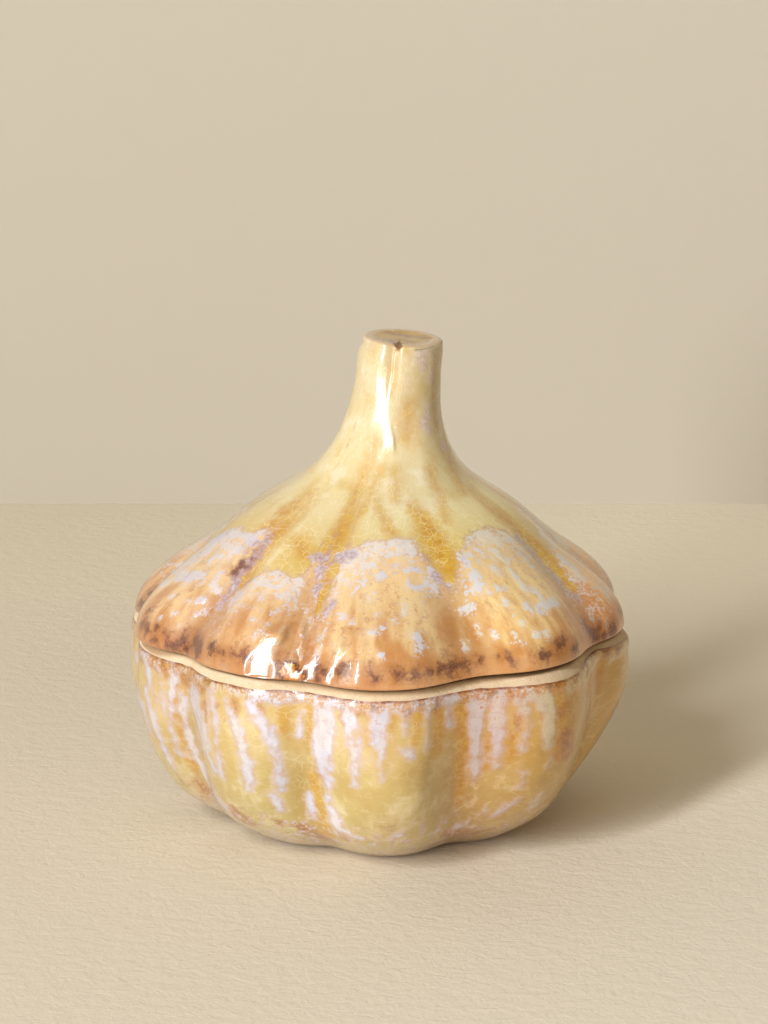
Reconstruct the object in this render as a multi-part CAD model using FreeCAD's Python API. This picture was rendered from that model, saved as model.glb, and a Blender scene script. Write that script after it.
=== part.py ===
import FreeCAD, Part
import math
import os

# Garlic keeper: a two-piece glazed stoneware jar in the shape of a garlic bulb. The lower half is a lobed bowl, the upper
# half is a lobed lid that draws up into a leaning stem, which is its grip. Millimetres, +Z up, the front lobe towards -Y,
# the origin on the surface it stands on, at the middle of its outline.

# ---------------------------------------------------------------- driving dimensions, mm and degrees
RIM_Z = 52.6            # height of the bowl's flat rim, where the lid sits
TOP_Z = 127.1           # height of the middle of the stem's flat top
SEAT_GAP = 0.1          # lid's seat above the rim
EDGE_LIFT = 0.4         # lid's lower edge above the rim, outside the seat
WALL = 4.6              # wall thickness of both castings
BEVEL_H = 1.9           # bare bevel round the outside of the rim, height
BEVEL_W = 1.5           # and width
LAND_IN = 5.6           # mouth's edge, inwards from the bowl's outer face
MOUTH_CHAMFER = 0.6
FOOT_IN_R = 27.0        # inner edge of the foot ring
RECESS_R = 25.4         # recess inside the foot ring
RECESS_H = 1.8
FLOOR_Z = 5.9           # inner floor
FLOOR_R = 34.5
SPIGOT_GAP = 1.2        # lid's locating lip to the mouth
SPIGOT_T = 4.2          # lip thickness
SPIGOT_DROP = 5.2       # lip below the rim
SEAT_CHAMFER = 1.2      # underside of the lid's edge
STEM_TOP_TILT = 0.07    # fall of the stem's top to the right, per mm
STEM_EDGE_R = 1.2       # rounding of the stem's top edge
HOLLOW_TOP = 11.0       # solid clay above the hollow in the stem
NOTCH_PHI = -10.0       # cleft in the front of the stem's top
NOTCH_DEPTH = 1.0
CENTRE_X = 0.205        # shift that puts the outline's middle on the origin
CENTRE_Y = 0.455
RING_N = 120            # points round each ring

# valleys between the ten lobes, degrees from the front (-Y) towards +X
VALLEY = [-82.77, -52.2, -18.91, 22.93, 61.11, 91.47, 120.98, 166.0, 203.45, 246.94]

# bowl: height and radius at the crest of a lobe
BOWL_Z = [0.0, 0.8, 1.6, 3.0, 4.7, 7.0, 9.5, 13.0, 17.0, 22.0, 27.5, 33.0, 38.5, 44.0, 48.5, 52.6]
BOWL_R = [35.87, 37.79, 39.6, 42.28, 44.95, 48.34, 51.49, 54.6, 57.23, 59.91, 62.1, 63.67, 64.53, 64.55, 64.26, 63.93]
# valley depth by height, times each valley's own share and sharpness
BOWL_DEPTH_T = [0.0, 0.12, 0.5, 1.0]
BOWL_DEPTH = [1.38, 1.66, 4.6, 2.51]
BOWL_SHARE = [0.7, 1.05, 1.2, 1.1, 0.95, 1.25, 1.0, 0.9, 1.0, 1.0]
BOWL_SHARP = [1.3, 2.2, 2.0, 1.15, 1.9, 1.4, 1.3, 1.6, 1.2, 1.5]
# how far each lobe swells, low and high on the bowl
BOWL_LOBE_LOW = [1.55, 0.91, 2.94, 1.96, -3.2, 0.2, 1.0, 1.2, 1.6, 2.99]
BOWL_LOBE_HIGH = [0.4, 0.06, 1.9, 2.6, 1.55, 0.6, 0.8, 1.2, 0.5, 0.81]
# how far each valley leans and bows on its way, degrees
BOWL_TWIST = [-8.5, -7.37, -0.62, 5.9, 4.13, 0.99, 1.0, -1.5, 2.0, 8.5]
BOWL_BOW = [1.18, 2.55, 1.94, -3.9, 2.15, -0.82, 0.6, -0.8, 0.5, 0.86]

# lid: height, and radius at the crest of a lobe
LID_Z = [53.0, 54.6, 56.8, 59.0, 61.2, 63.6, 66.3, 69.2, 72.3, 75.4, 78.3, 81.3, 84.2, 87.1, 90.2, 93.6, 97.0, 100.5,
         104.0, 107.5, 111.0, 115.0, 119.0, 123.0, 127.1]
LID_R = [64.01, 63.81, 63.32, 62.35, 60.81, 58.59, 55.48, 51.57, 47.33, 43.46, 40.0, 36.15, 31.92, 27.28, 22.76, 19.11,
         16.55, 14.65, 13.29, 12.33, 11.69, 11.25, 10.98, 10.85, 10.8]
LID_DEPTH_T = [0.0, 0.15, 0.35, 0.5, 0.75, 1.0]
LID_DEPTH = [2.09, 4.22, 0.85, 0.27, 0.1, 0.0]
LID_SHARE = [1.25, 1.22, 1.12, 1.14, 0.89, 0.7, 0.88, 1.0, 0.9, 1.15]
LID_SHARP = [1.5, 2.2, 1.9, 1.5, 2.0, 1.4, 1.4, 1.7, 1.3, 1.5]
LID_LOBE_LOW = [2.04, -0.4, 2.3, 1.43, 0.84, 0.2, 0.6, 0.9, 0.4, -0.2]
LID_LOBE_HIGH = [1.29, -0.02, 0.0, 0.0, -0.22, 0.09, 0.5, -0.4, 0.4, -2.6]
LID_TWIST = [-8.0, 7.43, -0.78, -3.88, 11.86, -1.89, -5.02, 1.0, 1.03, -6.5]
LID_BOW = [-1.64, -0.05, -1.72, 1.94, -0.53, 1.79, 0.08, 0.6, -0.5, -1.87]
LEAN_Z = [0.0, 52.6, 70.6, 84.6, 102.6, 127.1]
LEAN_X = [0.0, 0.0, 0.0, 1.33, 3.47, 5.54]
# the lid's edge stands a little higher where it warped in the kiln
WARP_PHI, WARP_WIDTH, WARP_LIFT = 32.0, 17.0, 0.6


# ---------------------------------------------------------------- small numeric helpers
def natural_spline(xs, ys):
    n = len(xs)
    h = [xs[i + 1] - xs[i] for i in range(n - 1)]
    a = [0.0] * n
    b = [1.0] * n
    c = [0.0] * n
    r = [0.0] * n
    for i in range(1, n - 1):
        a[i], b[i], c[i] = h[i - 1], 2.0 * (h[i - 1] + h[i]), h[i]
        r[i] = 6.0 * ((ys[i + 1] - ys[i]) / h[i] - (ys[i] - ys[i - 1]) / h[i - 1])
    for i in range(1, n):
        m = a[i] / b[i - 1]
        b[i] -= m * c[i - 1]
        r[i] -= m * r[i - 1]
    s = [0.0] * n
    s[-1] = r[-1] / b[-1]
    for i in range(n - 2, -1, -1):
        s[i] = (r[i] - c[i] * s[i + 1]) / b[i]

    def f(x):
        i = 0
        while i < n - 2 and x > xs[i + 1]:
            i += 1
        u, v = x - xs[i], xs[i + 1] - x
        return (s[i] * v ** 3 + s[i + 1] * u ** 3) / (6 * h[i]) + (ys[i] / h[i] - s[i] * h[i] / 6) * v + \
            (ys[i + 1] / h[i] - s[i + 1] * h[i] / 6) * u
    return f


def monotone(xs, ys):
    n = len(xs)
    h = [xs[i + 1] - xs[i] for i in range(n - 1)]
    g = [(ys[i + 1] - ys[i]) / h[i] for i in range(n - 1)]
    m = [0.0] * n
    for i in range(1, n - 1):
        if g[i - 1] * g[i] > 0:
            w1, w2 = 2 * h[i] + h[i - 1], h[i] + 2 * h[i - 1]
            m[i] = (w1 + w2) / (w1 / g[i - 1] + w2 / g[i])

    def f(x):
        if x <= xs[0]:
            return ys[0]
        if x >= xs[-1]:
            return ys[-1]
        i = 0
        while x > xs[i + 1]:
            i += 1
        t = (x - xs[i]) / h[i]
        return ys[i] * (1 + 2 * t) * (1 - t) ** 2 + m[i] * h[i] * t * (1 - t) ** 2 + \
            ys[i + 1] * t * t * (3 - 2 * t) + m[i + 1] * h[i] * t * t * (t - 1)
    return f


def ease(a, b, x):
    t = min(1.0, max(0.0, (x - a) / (b - a)))
    return t * t * (3 - 2 * t)


# ---------------------------------------------------------------- the lobed forms
ORDER = sorted(range(len(VALLEY)), key=lambda i: VALLEY[i] % 360)
SORTED = [VALLEY[i] % 360 for i in ORDER]


def around(phi, values):
    """value at the valleys, in line between them"""
    p = phi % 360
    n = len(SORTED)
    for k in range(n + 1):
        lo = SORTED[k - 1] - (360 if k == 0 else 0)
        hi = SORTED[k % n] + (360 if k == n else 0)
        if p < hi or k == n:
            t = (p - lo) / (hi - lo)
            return values[ORDER[k - 1]] * (1 - t) + values[ORDER[k % n]] * t


def lobe(phi):
    """place across a lobe, 0 to 1, and which lobe"""
    p = phi % 360
    n = len(SORTED)
    for k in range(n + 1):
        lo = SORTED[k - 1] - (360 if k == 0 else 0)
        hi = SORTED[k % n] + (360 if k == n else 0)
        if p < hi or k == n:
            return (p - lo) / (hi - lo), ORDER[k - 1]


bowl_crest = natural_spline(BOWL_Z, BOWL_R)
bowl_depth = monotone(BOWL_DEPTH_T, BOWL_DEPTH)
lid_crest = natural_spline(LID_Z, LID_R)
lid_depth = monotone(LID_DEPTH_T, LID_DEPTH)
lean = monotone(LEAN_Z, LEAN_X)


def bowl_radius(phi, z):
    t = z / RIM_Z
    p = phi - around(phi, BOWL_TWIST) * (1 - t) - around(phi, BOWL_BOW) * 4 * t * (1 - t)
    u, k = lobe(p)
    v = 0.5 * (1 + math.cos(2 * math.pi * u))
    w = 1 - ease(0.15, 0.9, t)
    swell = (BOWL_LOBE_LOW[k] * w + BOWL_LOBE_HIGH[k] * (1 - w)) * (1 - v)
    return bowl_crest(z) - bowl_depth(t) * around(p, BOWL_SHARE) * v ** around(p, BOWL_SHARP) + swell


def lid_radius(phi, z):
    t = (z - LID_Z[0]) / (LID_Z[-1] - LID_Z[0])
    x = min(1.0, max(0.0, t / 0.45))
    p = phi - around(phi, LID_TWIST) * min(t / 0.45, 1.2) - around(phi, LID_BOW) * 4 * x * (1 - x)
    u, k = lobe(p)
    v = 0.5 * (1 + math.cos(2 * math.pi * u))
    w = 1 - ease(0.05, 0.3, t)
    f = 1 - 0.85 * ease(0.3, 0.5, t) - 0.15 * ease(0.5, 1.0, t)
    swell = (LID_LOBE_LOW[k] * w + LID_LOBE_HIGH[k] * (1 - w)) * (1 - v) * f
    r = lid_crest(z) - lid_depth(t) * around(p, LID_SHARE) * v ** around(p, LID_SHARP) + swell
    # cleft at the front of the stem's top, and a slight flare on its right
    d = (phi - NOTCH_PHI + 180) % 360 - 180
    r -= NOTCH_DEPTH * math.exp(-(d / 9.0) ** 2) * ease(TOP_Z - 17, TOP_Z - 2, z)
    r += 0.5 * max(0.0, math.sin(math.radians(phi))) * ease(TOP_Z - 9, TOP_Z, z)
    return r


PHI = [360.0 * j / RING_N for j in range(RING_N)]


def ring(radius, z, x0=0.0):
    """radius and z may be numbers or functions of phi"""
    out = []
    for p in PHI:
        r = radius(p) if callable(radius) else radius
        h = z(p) if callable(z) else z
        a = math.radians(p)
        out.append((r * math.sin(a) + x0 + CENTRE_X, -r * math.cos(a) + CENTRE_Y, h))
    return out


# ---------------------------------------------------------------- splines through rings
def periodic_poles(q):
    n = len(q)
    p = [list(v) for v in q]
    for _ in range(60):
        p = [[(6 * q[j][c] - p[j - 1][c] - p[(j + 1) % n][c]) / 4 for c in range(3)] for j in range(n)]
    return [p[(j + SHIFT) % n] for j in range(n)]


def periodic_curve(poles):
    c = Part.BSplineCurve()
    n = len(poles)
    c.buildFromPolesMultsKnots([FreeCAD.Vector(*p) for p in poles], [1] * (n + 1), [float(i) for i in range(n + 1)], True, 3)
    return c


# the first point of a ring is its seam: find how far the poles turn to put it there
SHIFT = 0
_test = ring(50.0, 0.0)
_curve = periodic_curve(periodic_poles(_test))
_at = _curve.value(0.0)
_best = min(range(RING_N), key=lambda j: (_at - FreeCAD.Vector(*_test[j])).Length)
SHIFT = (-_best) % RING_N
assert (periodic_curve(periodic_poles(_test)).value(0.0) - FreeCAD.Vector(*_test[0])).Length < 1e-6


def basis_matrix(v, knots):
    """cubic basis values at the parameters v, one row each"""
    m = len(v)
    rows = []
    for x in v:
        if x >= knots[-1]:
            rows.append([0.0] * (m - 1) + [1.0])
            continue
        nb = [1.0 if knots[i] <= x < knots[i + 1] else 0.0 for i in range(len(knots) - 1)]
        for d in range(1, 4):
            nn = []
            for i in range(len(knots) - 1 - d):
                t = 0.0
                if knots[i + d] > knots[i]:
                    t += (x - knots[i]) / (knots[i + d] - knots[i]) * nb[i]
                if knots[i + d + 1] > knots[i + 1]:
                    t += (knots[i + d + 1] - x) / (knots[i + d + 1] - knots[i + 1]) * nb[i + 1]
                nn.append(t)
            nb = nn
        rows.append(nb[:m])
    return rows


def inverse(a):
    n = len(a)
    m = [list(a[i]) + [1.0 if j == i else 0.0 for j in range(n)] for i in range(n)]
    for i in range(n):
        k = max(range(i, n), key=lambda r: abs(m[r][i]))
        m[i], m[k] = m[k], m[i]
        d = m[i][i]
        m[i] = [x / d for x in m[i]]
        for r in range(n):
            if r != i and m[r][i] != 0.0:
                f = m[r][i]
                m[r] = [x - f * y for x, y in zip(m[r], m[i])]
    return [row[n:] for row in m]


def skin(rings):
    """one smooth face through all the rings; the first and last are its edges"""
    poles = [periodic_poles(r) for r in rings]
    m = len(rings)
    if m == 2:
        knots, mults, deg = [0.0, 1.0], [2, 2], 1
        grid = poles
    else:
        v = [0.0]
        for i in range(1, m):
            step = sum(math.dist(rings[i][j], rings[i - 1][j]) for j in range(0, RING_N, 10)) * 10 / RING_N
            v.append(v[-1] + step)
        v = [x / v[-1] for x in v]
        full = [0.0] * 4 + [(v[j + 1] + v[j + 2] + v[j + 3]) / 3 for j in range(m - 4)] + [1.0] * 4
        inv = inverse(basis_matrix(v, full))
        grid = []
        for i in range(m):
            row = []
            for j in range(RING_N):
                row.append([sum(inv[i][k] * poles[k][j][c] for k in range(m)) for c in range(3)])
            grid.append(row)
        grid[0], grid[-1] = poles[0], poles[-1]
        knots = [0.0] + full[4:-4] + [1.0]
        mults = [4] + [1] * (m - 4) + [4]
        deg = 3
    s = Part.BSplineSurface()
    table = [[FreeCAD.Vector(*grid[i][j]) for i in range(m)] for j in range(RING_N)]
    s.buildFromPolesMultsKnots(table, [1] * (RING_N + 1), mults, [float(i) for i in range(RING_N + 1)], knots, True, False,
                               3, deg)
    return s.toShape()


def wire(r):
    return Part.Wire([periodic_curve(periodic_poles(r)).toShape()])


def flat(outer, inner=None):
    return Part.makeFace([wire(outer)] + ([wire(inner)] if inner else []), "Part::FaceMakerBullseye")


def closed(faces, name):
    c = Part.Compound(faces)
    c.sewShape(1e-4)
    shell = c.Shells[0] if c.ShapeType != "Shell" else c
    assert len(c.Shells) == 1 and shell.isClosed(), name
    solid = Part.Solid(shell)
    if solid.Volume < 0:
        solid.reverse()
    assert solid.isValid() and solid.Volume > 0, name
    return solid


def wall_inside(crest, z, side):
    """meridian point WALL inside the crest profile, square to it"""
    e = 0.05
    s = (crest(z + e) - crest(z - e)) / (2 * e)
    n = math.hypot(1.0, s)
    return crest(z) - WALL / n, z + WALL * s / n


# ---------------------------------------------------------------- bowl
def make_bowl():
    z_bevel = RIM_Z - BEVEL_H
    levels = [z for z in BOWL_Z if z < z_bevel - 1.5] + [z_bevel]
    outer = [ring(lambda p, z=z: bowl_radius(p, z), z) for z in levels]
    rim = lambda p: bowl_radius(p, RIM_Z)
    land_out = ring(lambda p: rim(p) - BEVEL_W, RIM_Z)
    land_in = ring(lambda p: rim(p) - LAND_IN, RIM_Z)
    inner = [ring(lambda p: rim(p) - LAND_IN - MOUTH_CHAMFER, RIM_Z - MOUTH_CHAMFER)]
    # below the mouth the inside opens out to an even wall
    for z, ins in ((49.5, 5.75), (46.0, 5.15)):
        inner.append(ring(lambda p, z=z, ins=ins: bowl_radius(p, z) - ins, z))
    for z in (42.0, 37.0, 32.0, 27.0, 22.5, 18.0, 14.0, 10.5, 7.5, 5.2, 3.6):
        r, h = wall_inside(bowl_crest, z, 1)
        if h < FLOOR_Z + 0.5:
            continue
        inner.append(ring(lambda p, z=z, r=r: r + 0.85 * (bowl_radius(p, z) - bowl_crest(z)), h))
    low = min(pt[2] for pt in inner[-1])
    inner.append(ring(lambda p: FLOOR_R + 2.2 + 0.45 * (bowl_radius(p, 2.0) - bowl_crest(2.0)), FLOOR_Z + 0.18))
    inner.append(ring(FLOOR_R, FLOOR_Z))
    foot_out = outer[0]
    foot_in = ring(FOOT_IN_R, 0.0)
    recess = ring(RECESS_R, RECESS_H)
    print("bowl inner rings", len(inner), "last wall ring at", round(low, 2))
    return closed([flat(foot_out, foot_in), skin([foot_in, recess]), flat(recess), skin(outer), skin([outer[-1], land_out]),
                   flat(land_out, land_in), skin([land_in, inner[0]]), skin(inner), flat(inner[-1])], "bowl")


# ---------------------------------------------------------------- lid
def warp(p):
    d = (p - WARP_PHI + 180) % 360 - 180
    return WARP_LIFT * math.exp(-(d / WARP_WIDTH) ** 2)


def make_lid():
    edge = lambda p: lid_radius(p, LID_Z[0])
    z_seat = RIM_Z + SEAT_GAP
    seat_out = ring(lambda p: edge(p) - SEAT_CHAMFER, z_seat)
    mouth = lambda p: bowl_radius(p, RIM_Z) - LAND_IN - MOUTH_CHAMFER
    lip = lambda p: mouth(p) - SPIGOT_GAP
    seat_in = ring(lambda p: lip(p) - 0.0, z_seat)
    # outside, from the edge up to the rounding of the stem's top
    outer = [ring(lambda p: edge(p) - 0.35, lambda p: RIM_Z + EDGE_LIFT + warp(p))]
    outer.append(ring(lambda p: lid_radius(p, 53.8), lambda p: 53.7 + 0.8 * warp(p), lean(53.8)))
    for z in LID_Z[1:-1]:
        outer.append(ring(lambda p, z=z: lid_radius(p, z),
                          lambda p, z=z: z + warp(p) * max(0.0, 1 - (z - 53.0) / 9.0) * 0.8, lean(z)))
    # the sheared top keeps to one plane: its height falls in line with x
    xc = lean(TOP_Z)

    def top_ring(inset, drop):
        out = []
        for p in PHI:
            a = math.radians(p)
            r = lid_radius(p, TOP_Z) - inset
            x = r * math.sin(a)
            out.append((x + xc + CENTRE_X, -r * math.cos(a) + CENTRE_Y, TOP_Z - drop - STEM_TOP_TILT * x))
        return out
    outer.append(top_ring(0.0, STEM_EDGE_R))
    outer.append(top_ring(0.12 * STEM_EDGE_R, 0.55 * STEM_EDGE_R))
    outer.append(top_ring(0.42 * STEM_EDGE_R, 0.18 * STEM_EDGE_R))
    outer.append(top_ring(STEM_EDGE_R, 0.0))
    # the locating lip and the hollow, from below the rim up into the stem
    z_lip = RIM_Z - SPIGOT_DROP
    lip_out = ring(lambda p: lip(p) - 0.6, z_lip + 0.6)
    lip_low = ring(lambda p: lip(p) - 1.3, z_lip)
    lip_in = ring(lambda p: lip(p) - SPIGOT_T + 0.6, z_lip)
    inner = [ring(lambda p: lip(p) - SPIGOT_T, z_lip + 0.6)]
    inner.append(ring(lambda p: lip(p) - SPIGOT_T - 0.05, 50.5))
    inner.append(ring(lambda p: lip(p) - SPIGOT_T + 0.5, 53.6))
    inner.append(ring(lambda p: lip(p) - SPIGOT_T + 1.0, 56.4))
    for z in (64.2, 67.0, 70.0, 73.0, 76.0, 79.0, 82.0, 85.0, 88.0, 91.0, 94.5, 98.5, 103.0, 108.0, 112.5):
        r, h = wall_inside(lid_crest, z, -1)
        inner.append(ring(lambda p, z=z, r=r: r + 0.8 * (lid_radius(p, z) - lid_crest(z)), h, lean(h)))
    zt_in = TOP_Z - HOLLOW_TOP
    inner.append(ring(5.4, zt_in - 0.9, lean(zt_in - 0.9)))
    inner.append(ring(3.6, zt_in, lean(zt_in)))
    return closed([skin([seat_out, outer[0]]), skin(outer), flat(outer[-1]), flat(seat_out, seat_in),
                   skin([seat_in, lip_out]), skin([lip_out, lip_low]), flat(lip_low, lip_in), skin([lip_in, inner[0]]),
                   skin(inner), flat(inner[-1])], "lid")


os.makedirs("parts", exist_ok=True)
for name, make in (("bowl", make_bowl), ("lid", make_lid)):
    s = make()
    b = s.BoundBox
    print(name, "volume cm3", round(s.Volume / 1000, 2), "faces", len(s.Faces), "box",
          [round(x, 2) for x in (b.XMin, b.XMax, b.YMin, b.YMax, b.ZMin, b.ZMax)])
    s.exportStep("parts/%s.step" % name)
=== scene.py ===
import bpy
import math
import numpy as np
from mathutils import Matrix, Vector


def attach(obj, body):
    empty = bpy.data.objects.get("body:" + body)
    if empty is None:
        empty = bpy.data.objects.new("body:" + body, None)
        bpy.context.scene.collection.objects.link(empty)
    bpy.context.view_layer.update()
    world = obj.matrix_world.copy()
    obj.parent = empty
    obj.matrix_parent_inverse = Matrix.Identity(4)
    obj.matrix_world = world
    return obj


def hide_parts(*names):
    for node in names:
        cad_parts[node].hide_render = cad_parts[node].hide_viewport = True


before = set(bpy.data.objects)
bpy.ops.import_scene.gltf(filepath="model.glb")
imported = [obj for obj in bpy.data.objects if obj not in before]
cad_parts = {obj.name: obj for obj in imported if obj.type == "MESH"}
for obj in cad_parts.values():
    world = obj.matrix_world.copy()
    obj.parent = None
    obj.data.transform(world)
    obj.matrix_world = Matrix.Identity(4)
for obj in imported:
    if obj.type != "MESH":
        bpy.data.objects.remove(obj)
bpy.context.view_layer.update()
MM = 0.001

# ------------------------------------------------------------------ the form: the same tables as the construction, millimetres
RIM_Z, TOP_Z, CENTRE_X, CENTRE_Y = 52.6, 127.1, 0.205, 0.455
VALLEY = [-82.77, -52.2, -18.91, 22.93, 61.11, 91.47, 120.98, 166.0, 203.45, 246.94]
BOWL_Z = [0.0, 0.8, 1.6, 3.0, 4.7, 7.0, 9.5, 13.0, 17.0, 22.0, 27.5, 33.0, 38.5, 44.0, 48.5, 52.6]
BOWL_R = [35.87, 37.79, 39.6, 42.28, 44.95, 48.34, 51.49, 54.6, 57.23, 59.91, 62.1, 63.67, 64.53, 64.55, 64.26, 63.93]
BOWL_DEPTH_T = [0.0, 0.12, 0.5, 1.0]
BOWL_DEPTH = [1.38, 1.66, 4.6, 2.51]
BOWL_SHARE = [0.7, 1.05, 1.2, 1.1, 0.95, 1.25, 1.0, 0.9, 1.0, 1.0]
BOWL_SHARP = [1.3, 2.2, 2.0, 1.15, 1.9, 1.4, 1.3, 1.6, 1.2, 1.5]
BOWL_LOBE_LOW = [1.55, 0.91, 2.94, 1.96, -3.2, 0.2, 1.0, 1.2, 1.6, 2.99]
BOWL_LOBE_HIGH = [0.4, 0.06, 1.9, 2.6, 1.55, 0.6, 0.8, 1.2, 0.5, 0.81]
BOWL_TWIST = [-8.5, -7.37, -0.62, 5.9, 4.13, 0.99, 1.0, -1.5, 2.0, 8.5]
BOWL_BOW = [1.18, 2.55, 1.94, -3.9, 2.15, -0.82, 0.6, -0.8, 0.5, 0.86]
LID_Z = [53.0, 54.6, 56.8, 59.0, 61.2, 63.6, 66.3, 69.2, 72.3, 75.4, 78.3, 81.3, 84.2, 87.1, 90.2, 93.6, 97.0, 100.5,
         104.0, 107.5, 111.0, 115.0, 119.0, 123.0, 127.1]
LID_R = [64.01, 63.81, 63.32, 62.35, 60.81, 58.59, 55.48, 51.57, 47.33, 43.46, 40.0, 36.15, 31.92, 27.28, 22.76, 19.11,
         16.55, 14.65, 13.29, 12.33, 11.69, 11.25, 10.98, 10.85, 10.8]
LID_DEPTH_T = [0.0, 0.15, 0.35, 0.5, 0.75, 1.0]
LID_DEPTH = [2.09, 4.22, 0.85, 0.27, 0.1, 0.0]
LID_SHARE = [1.25, 1.22, 1.12, 1.14, 0.89, 0.7, 0.88, 1.0, 0.9, 1.15]
LID_SHARP = [1.5, 2.2, 1.9, 1.5, 2.0, 1.4, 1.4, 1.7, 1.3, 1.5]
LID_LOBE_LOW = [2.04, -0.4, 2.3, 1.43, 0.84, 0.2, 0.6, 0.9, 0.4, -0.2]
LID_LOBE_HIGH = [1.29, -0.02, 0.0, 0.0, -0.22, 0.09, 0.5, -0.4, 0.4, -2.6]
LID_TWIST = [-8.0, 7.43, -0.78, -3.88, 11.86, -1.89, -5.02, 1.0, 1.03, -6.5]
LID_BOW = [-1.64, -0.05, -1.72, 1.94, -0.53, 1.79, 0.08, 0.6, -0.5, -1.87]
LEAN_Z = [0.0, 52.6, 70.6, 84.6, 102.6, 127.1]
LEAN_X = [0.0, 0.0, 0.0, 1.33, 3.47, 5.54]


def natural(xs, ys):
    xs, ys = np.asarray(xs, float), np.asarray(ys, float)
    n, h = len(xs), np.diff(xs)
    m, r = np.eye(n), np.zeros(n)
    for i in range(1, n - 1):
        m[i, i - 1:i + 2] = h[i - 1], 2 * (h[i - 1] + h[i]), h[i]
        r[i] = 6 * ((ys[i + 1] - ys[i]) / h[i] - (ys[i] - ys[i - 1]) / h[i - 1])
    s = np.linalg.solve(m, r)

    def f(x):
        x = np.asarray(x, float)
        i = np.clip(np.searchsorted(xs, x, side="left") - 1, 0, n - 2)
        u, v = x - xs[i], xs[i + 1] - x
        return (s[i] * v ** 3 + s[i + 1] * u ** 3) / (6 * h[i]) + (ys[i] / h[i] - s[i] * h[i] / 6) * v + \
            (ys[i + 1] / h[i] - s[i + 1] * h[i] / 6) * u
    return f


def monotone(xs, ys):
    xs, ys = np.asarray(xs, float), np.asarray(ys, float)
    n, h = len(xs), np.diff(xs)
    g, m = np.diff(ys) / h, np.zeros(n)
    for i in range(1, n - 1):
        if g[i - 1] * g[i] > 0:
            w1, w2 = 2 * h[i] + h[i - 1], h[i] + 2 * h[i - 1]
            m[i] = (w1 + w2) / (w1 / g[i - 1] + w2 / g[i])

    def f(x):
        x = np.clip(np.asarray(x, float), xs[0], xs[-1])
        i = np.clip(np.searchsorted(xs, x, side="left") - 1, 0, n - 2)
        t = (x - xs[i]) / h[i]
        return ys[i] * (1 + 2 * t) * (1 - t) ** 2 + m[i] * h[i] * t * (1 - t) ** 2 + \
            ys[i + 1] * t * t * (3 - 2 * t) + m[i + 1] * h[i] * t * t * (t - 1)
    return f


def ease(a, b, x):
    t = np.clip((np.asarray(x, float) - a) / (b - a), 0, 1)
    return t * t * (3 - 2 * t)


VAL = np.array(VALLEY)
ORDER = np.argsort(VAL % 360)
_vs = (VAL % 360)[ORDER]
VV = np.concatenate([[_vs[-1] - 360], _vs, [_vs[0] + 360]])
VO = np.concatenate([[ORDER[-1]], ORDER, [ORDER[0]]])


def lobe(phi):
    """place across the lobe, 0 to 1, its left valley, its right valley"""
    p = np.mod(phi, 360)
    i = np.clip(np.searchsorted(VV, p, side="right") - 1, 0, len(VV) - 2)
    return (p - VV[i]) / (VV[i + 1] - VV[i]), VO[i], VO[i + 1]


def around(phi, values):
    u, a, b = lobe(phi)
    u = u * u * (3 - 2 * u) * 0.6 + u * 0.4
    values = np.asarray(values, float)
    return values[a] * (1 - u) + values[b] * u


bowl_crest, bowl_depth = natural(BOWL_Z, BOWL_R), monotone(BOWL_DEPTH_T, BOWL_DEPTH)
lid_crest, lid_depth, lean = natural(LID_Z, LID_R), monotone(LID_DEPTH_T, LID_DEPTH), monotone(LEAN_Z, LEAN_X)
_z = np.linspace(0, 50.7, 1200)
_s = np.concatenate([[0], np.cumsum(np.hypot(np.diff(_z), np.diff(bowl_crest(_z))))])
bowl_s = lambda z: np.interp(z, _z, _s[-1] - _s)          # millimetres down the outside from the bevel
bowl_z = lambda s: np.interp(s, (_s[-1] - _s)[::-1], _z[::-1])
_zl = np.linspace(53, TOP_Z, 1800)
_sl = np.concatenate([[0], np.cumsum(np.hypot(np.diff(_zl), np.diff(lid_crest(_zl))))])
lid_s = lambda z: np.interp(z, _zl, _sl)                  # millimetres up the outside from the lid's edge
lid_z = lambda s: np.interp(s, _sl, _zl)


def bowl_radius(phi, z):
    t = z / RIM_Z
    p = phi - around(phi, BOWL_TWIST) * (1 - t) - around(phi, BOWL_BOW) * 4 * t * (1 - t)
    u, k, _ = lobe(p)
    v = 0.5 * (1 + np.cos(2 * np.pi * u))
    w = 1 - ease(0.15, 0.9, t)
    swell = (np.array(BOWL_LOBE_LOW)[k] * w + np.array(BOWL_LOBE_HIGH)[k] * (1 - w)) * (1 - v)
    return bowl_crest(z) - bowl_depth(t) * around(p, BOWL_SHARE) * v ** around(p, BOWL_SHARP) + swell, v


def lid_radius(phi, z):
    t = (z - 53) / (TOP_Z - 53)
    x = np.clip(t / 0.45, 0, 1)
    p = phi - around(phi, LID_TWIST) * np.minimum(t / 0.45, 1.2) - around(phi, LID_BOW) * 4 * x * (1 - x)
    u, k, _ = lobe(p)
    v = 0.5 * (1 + np.cos(2 * np.pi * u))
    w = 1 - ease(0.05, 0.3, t)
    f = 1 - 0.85 * ease(0.3, 0.5, t) - 0.15 * ease(0.5, 1, t)
    swell = (np.array(LID_LOBE_LOW)[k] * w + np.array(LID_LOBE_HIGH)[k] * (1 - w)) * (1 - v) * f
    r = lid_crest(z) - lid_depth(t) * around(p, LID_SHARE) * v ** around(p, LID_SHARP) + swell
    d = np.mod(phi + 10 + 180, 360) - 180
    r = r - 1.0 * np.exp(-(d / 9.0) ** 2) * ease(TOP_Z - 17, TOP_Z - 2, z)
    return r + 0.5 * np.maximum(0, np.sin(np.radians(phi))) * ease(TOP_Z - 9, TOP_Z, z), v


def warp(phi):
    d = np.mod(phi - 32 + 180, 360) - 180
    return 0.6 * np.exp(-(d / 17.0) ** 2)


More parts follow.
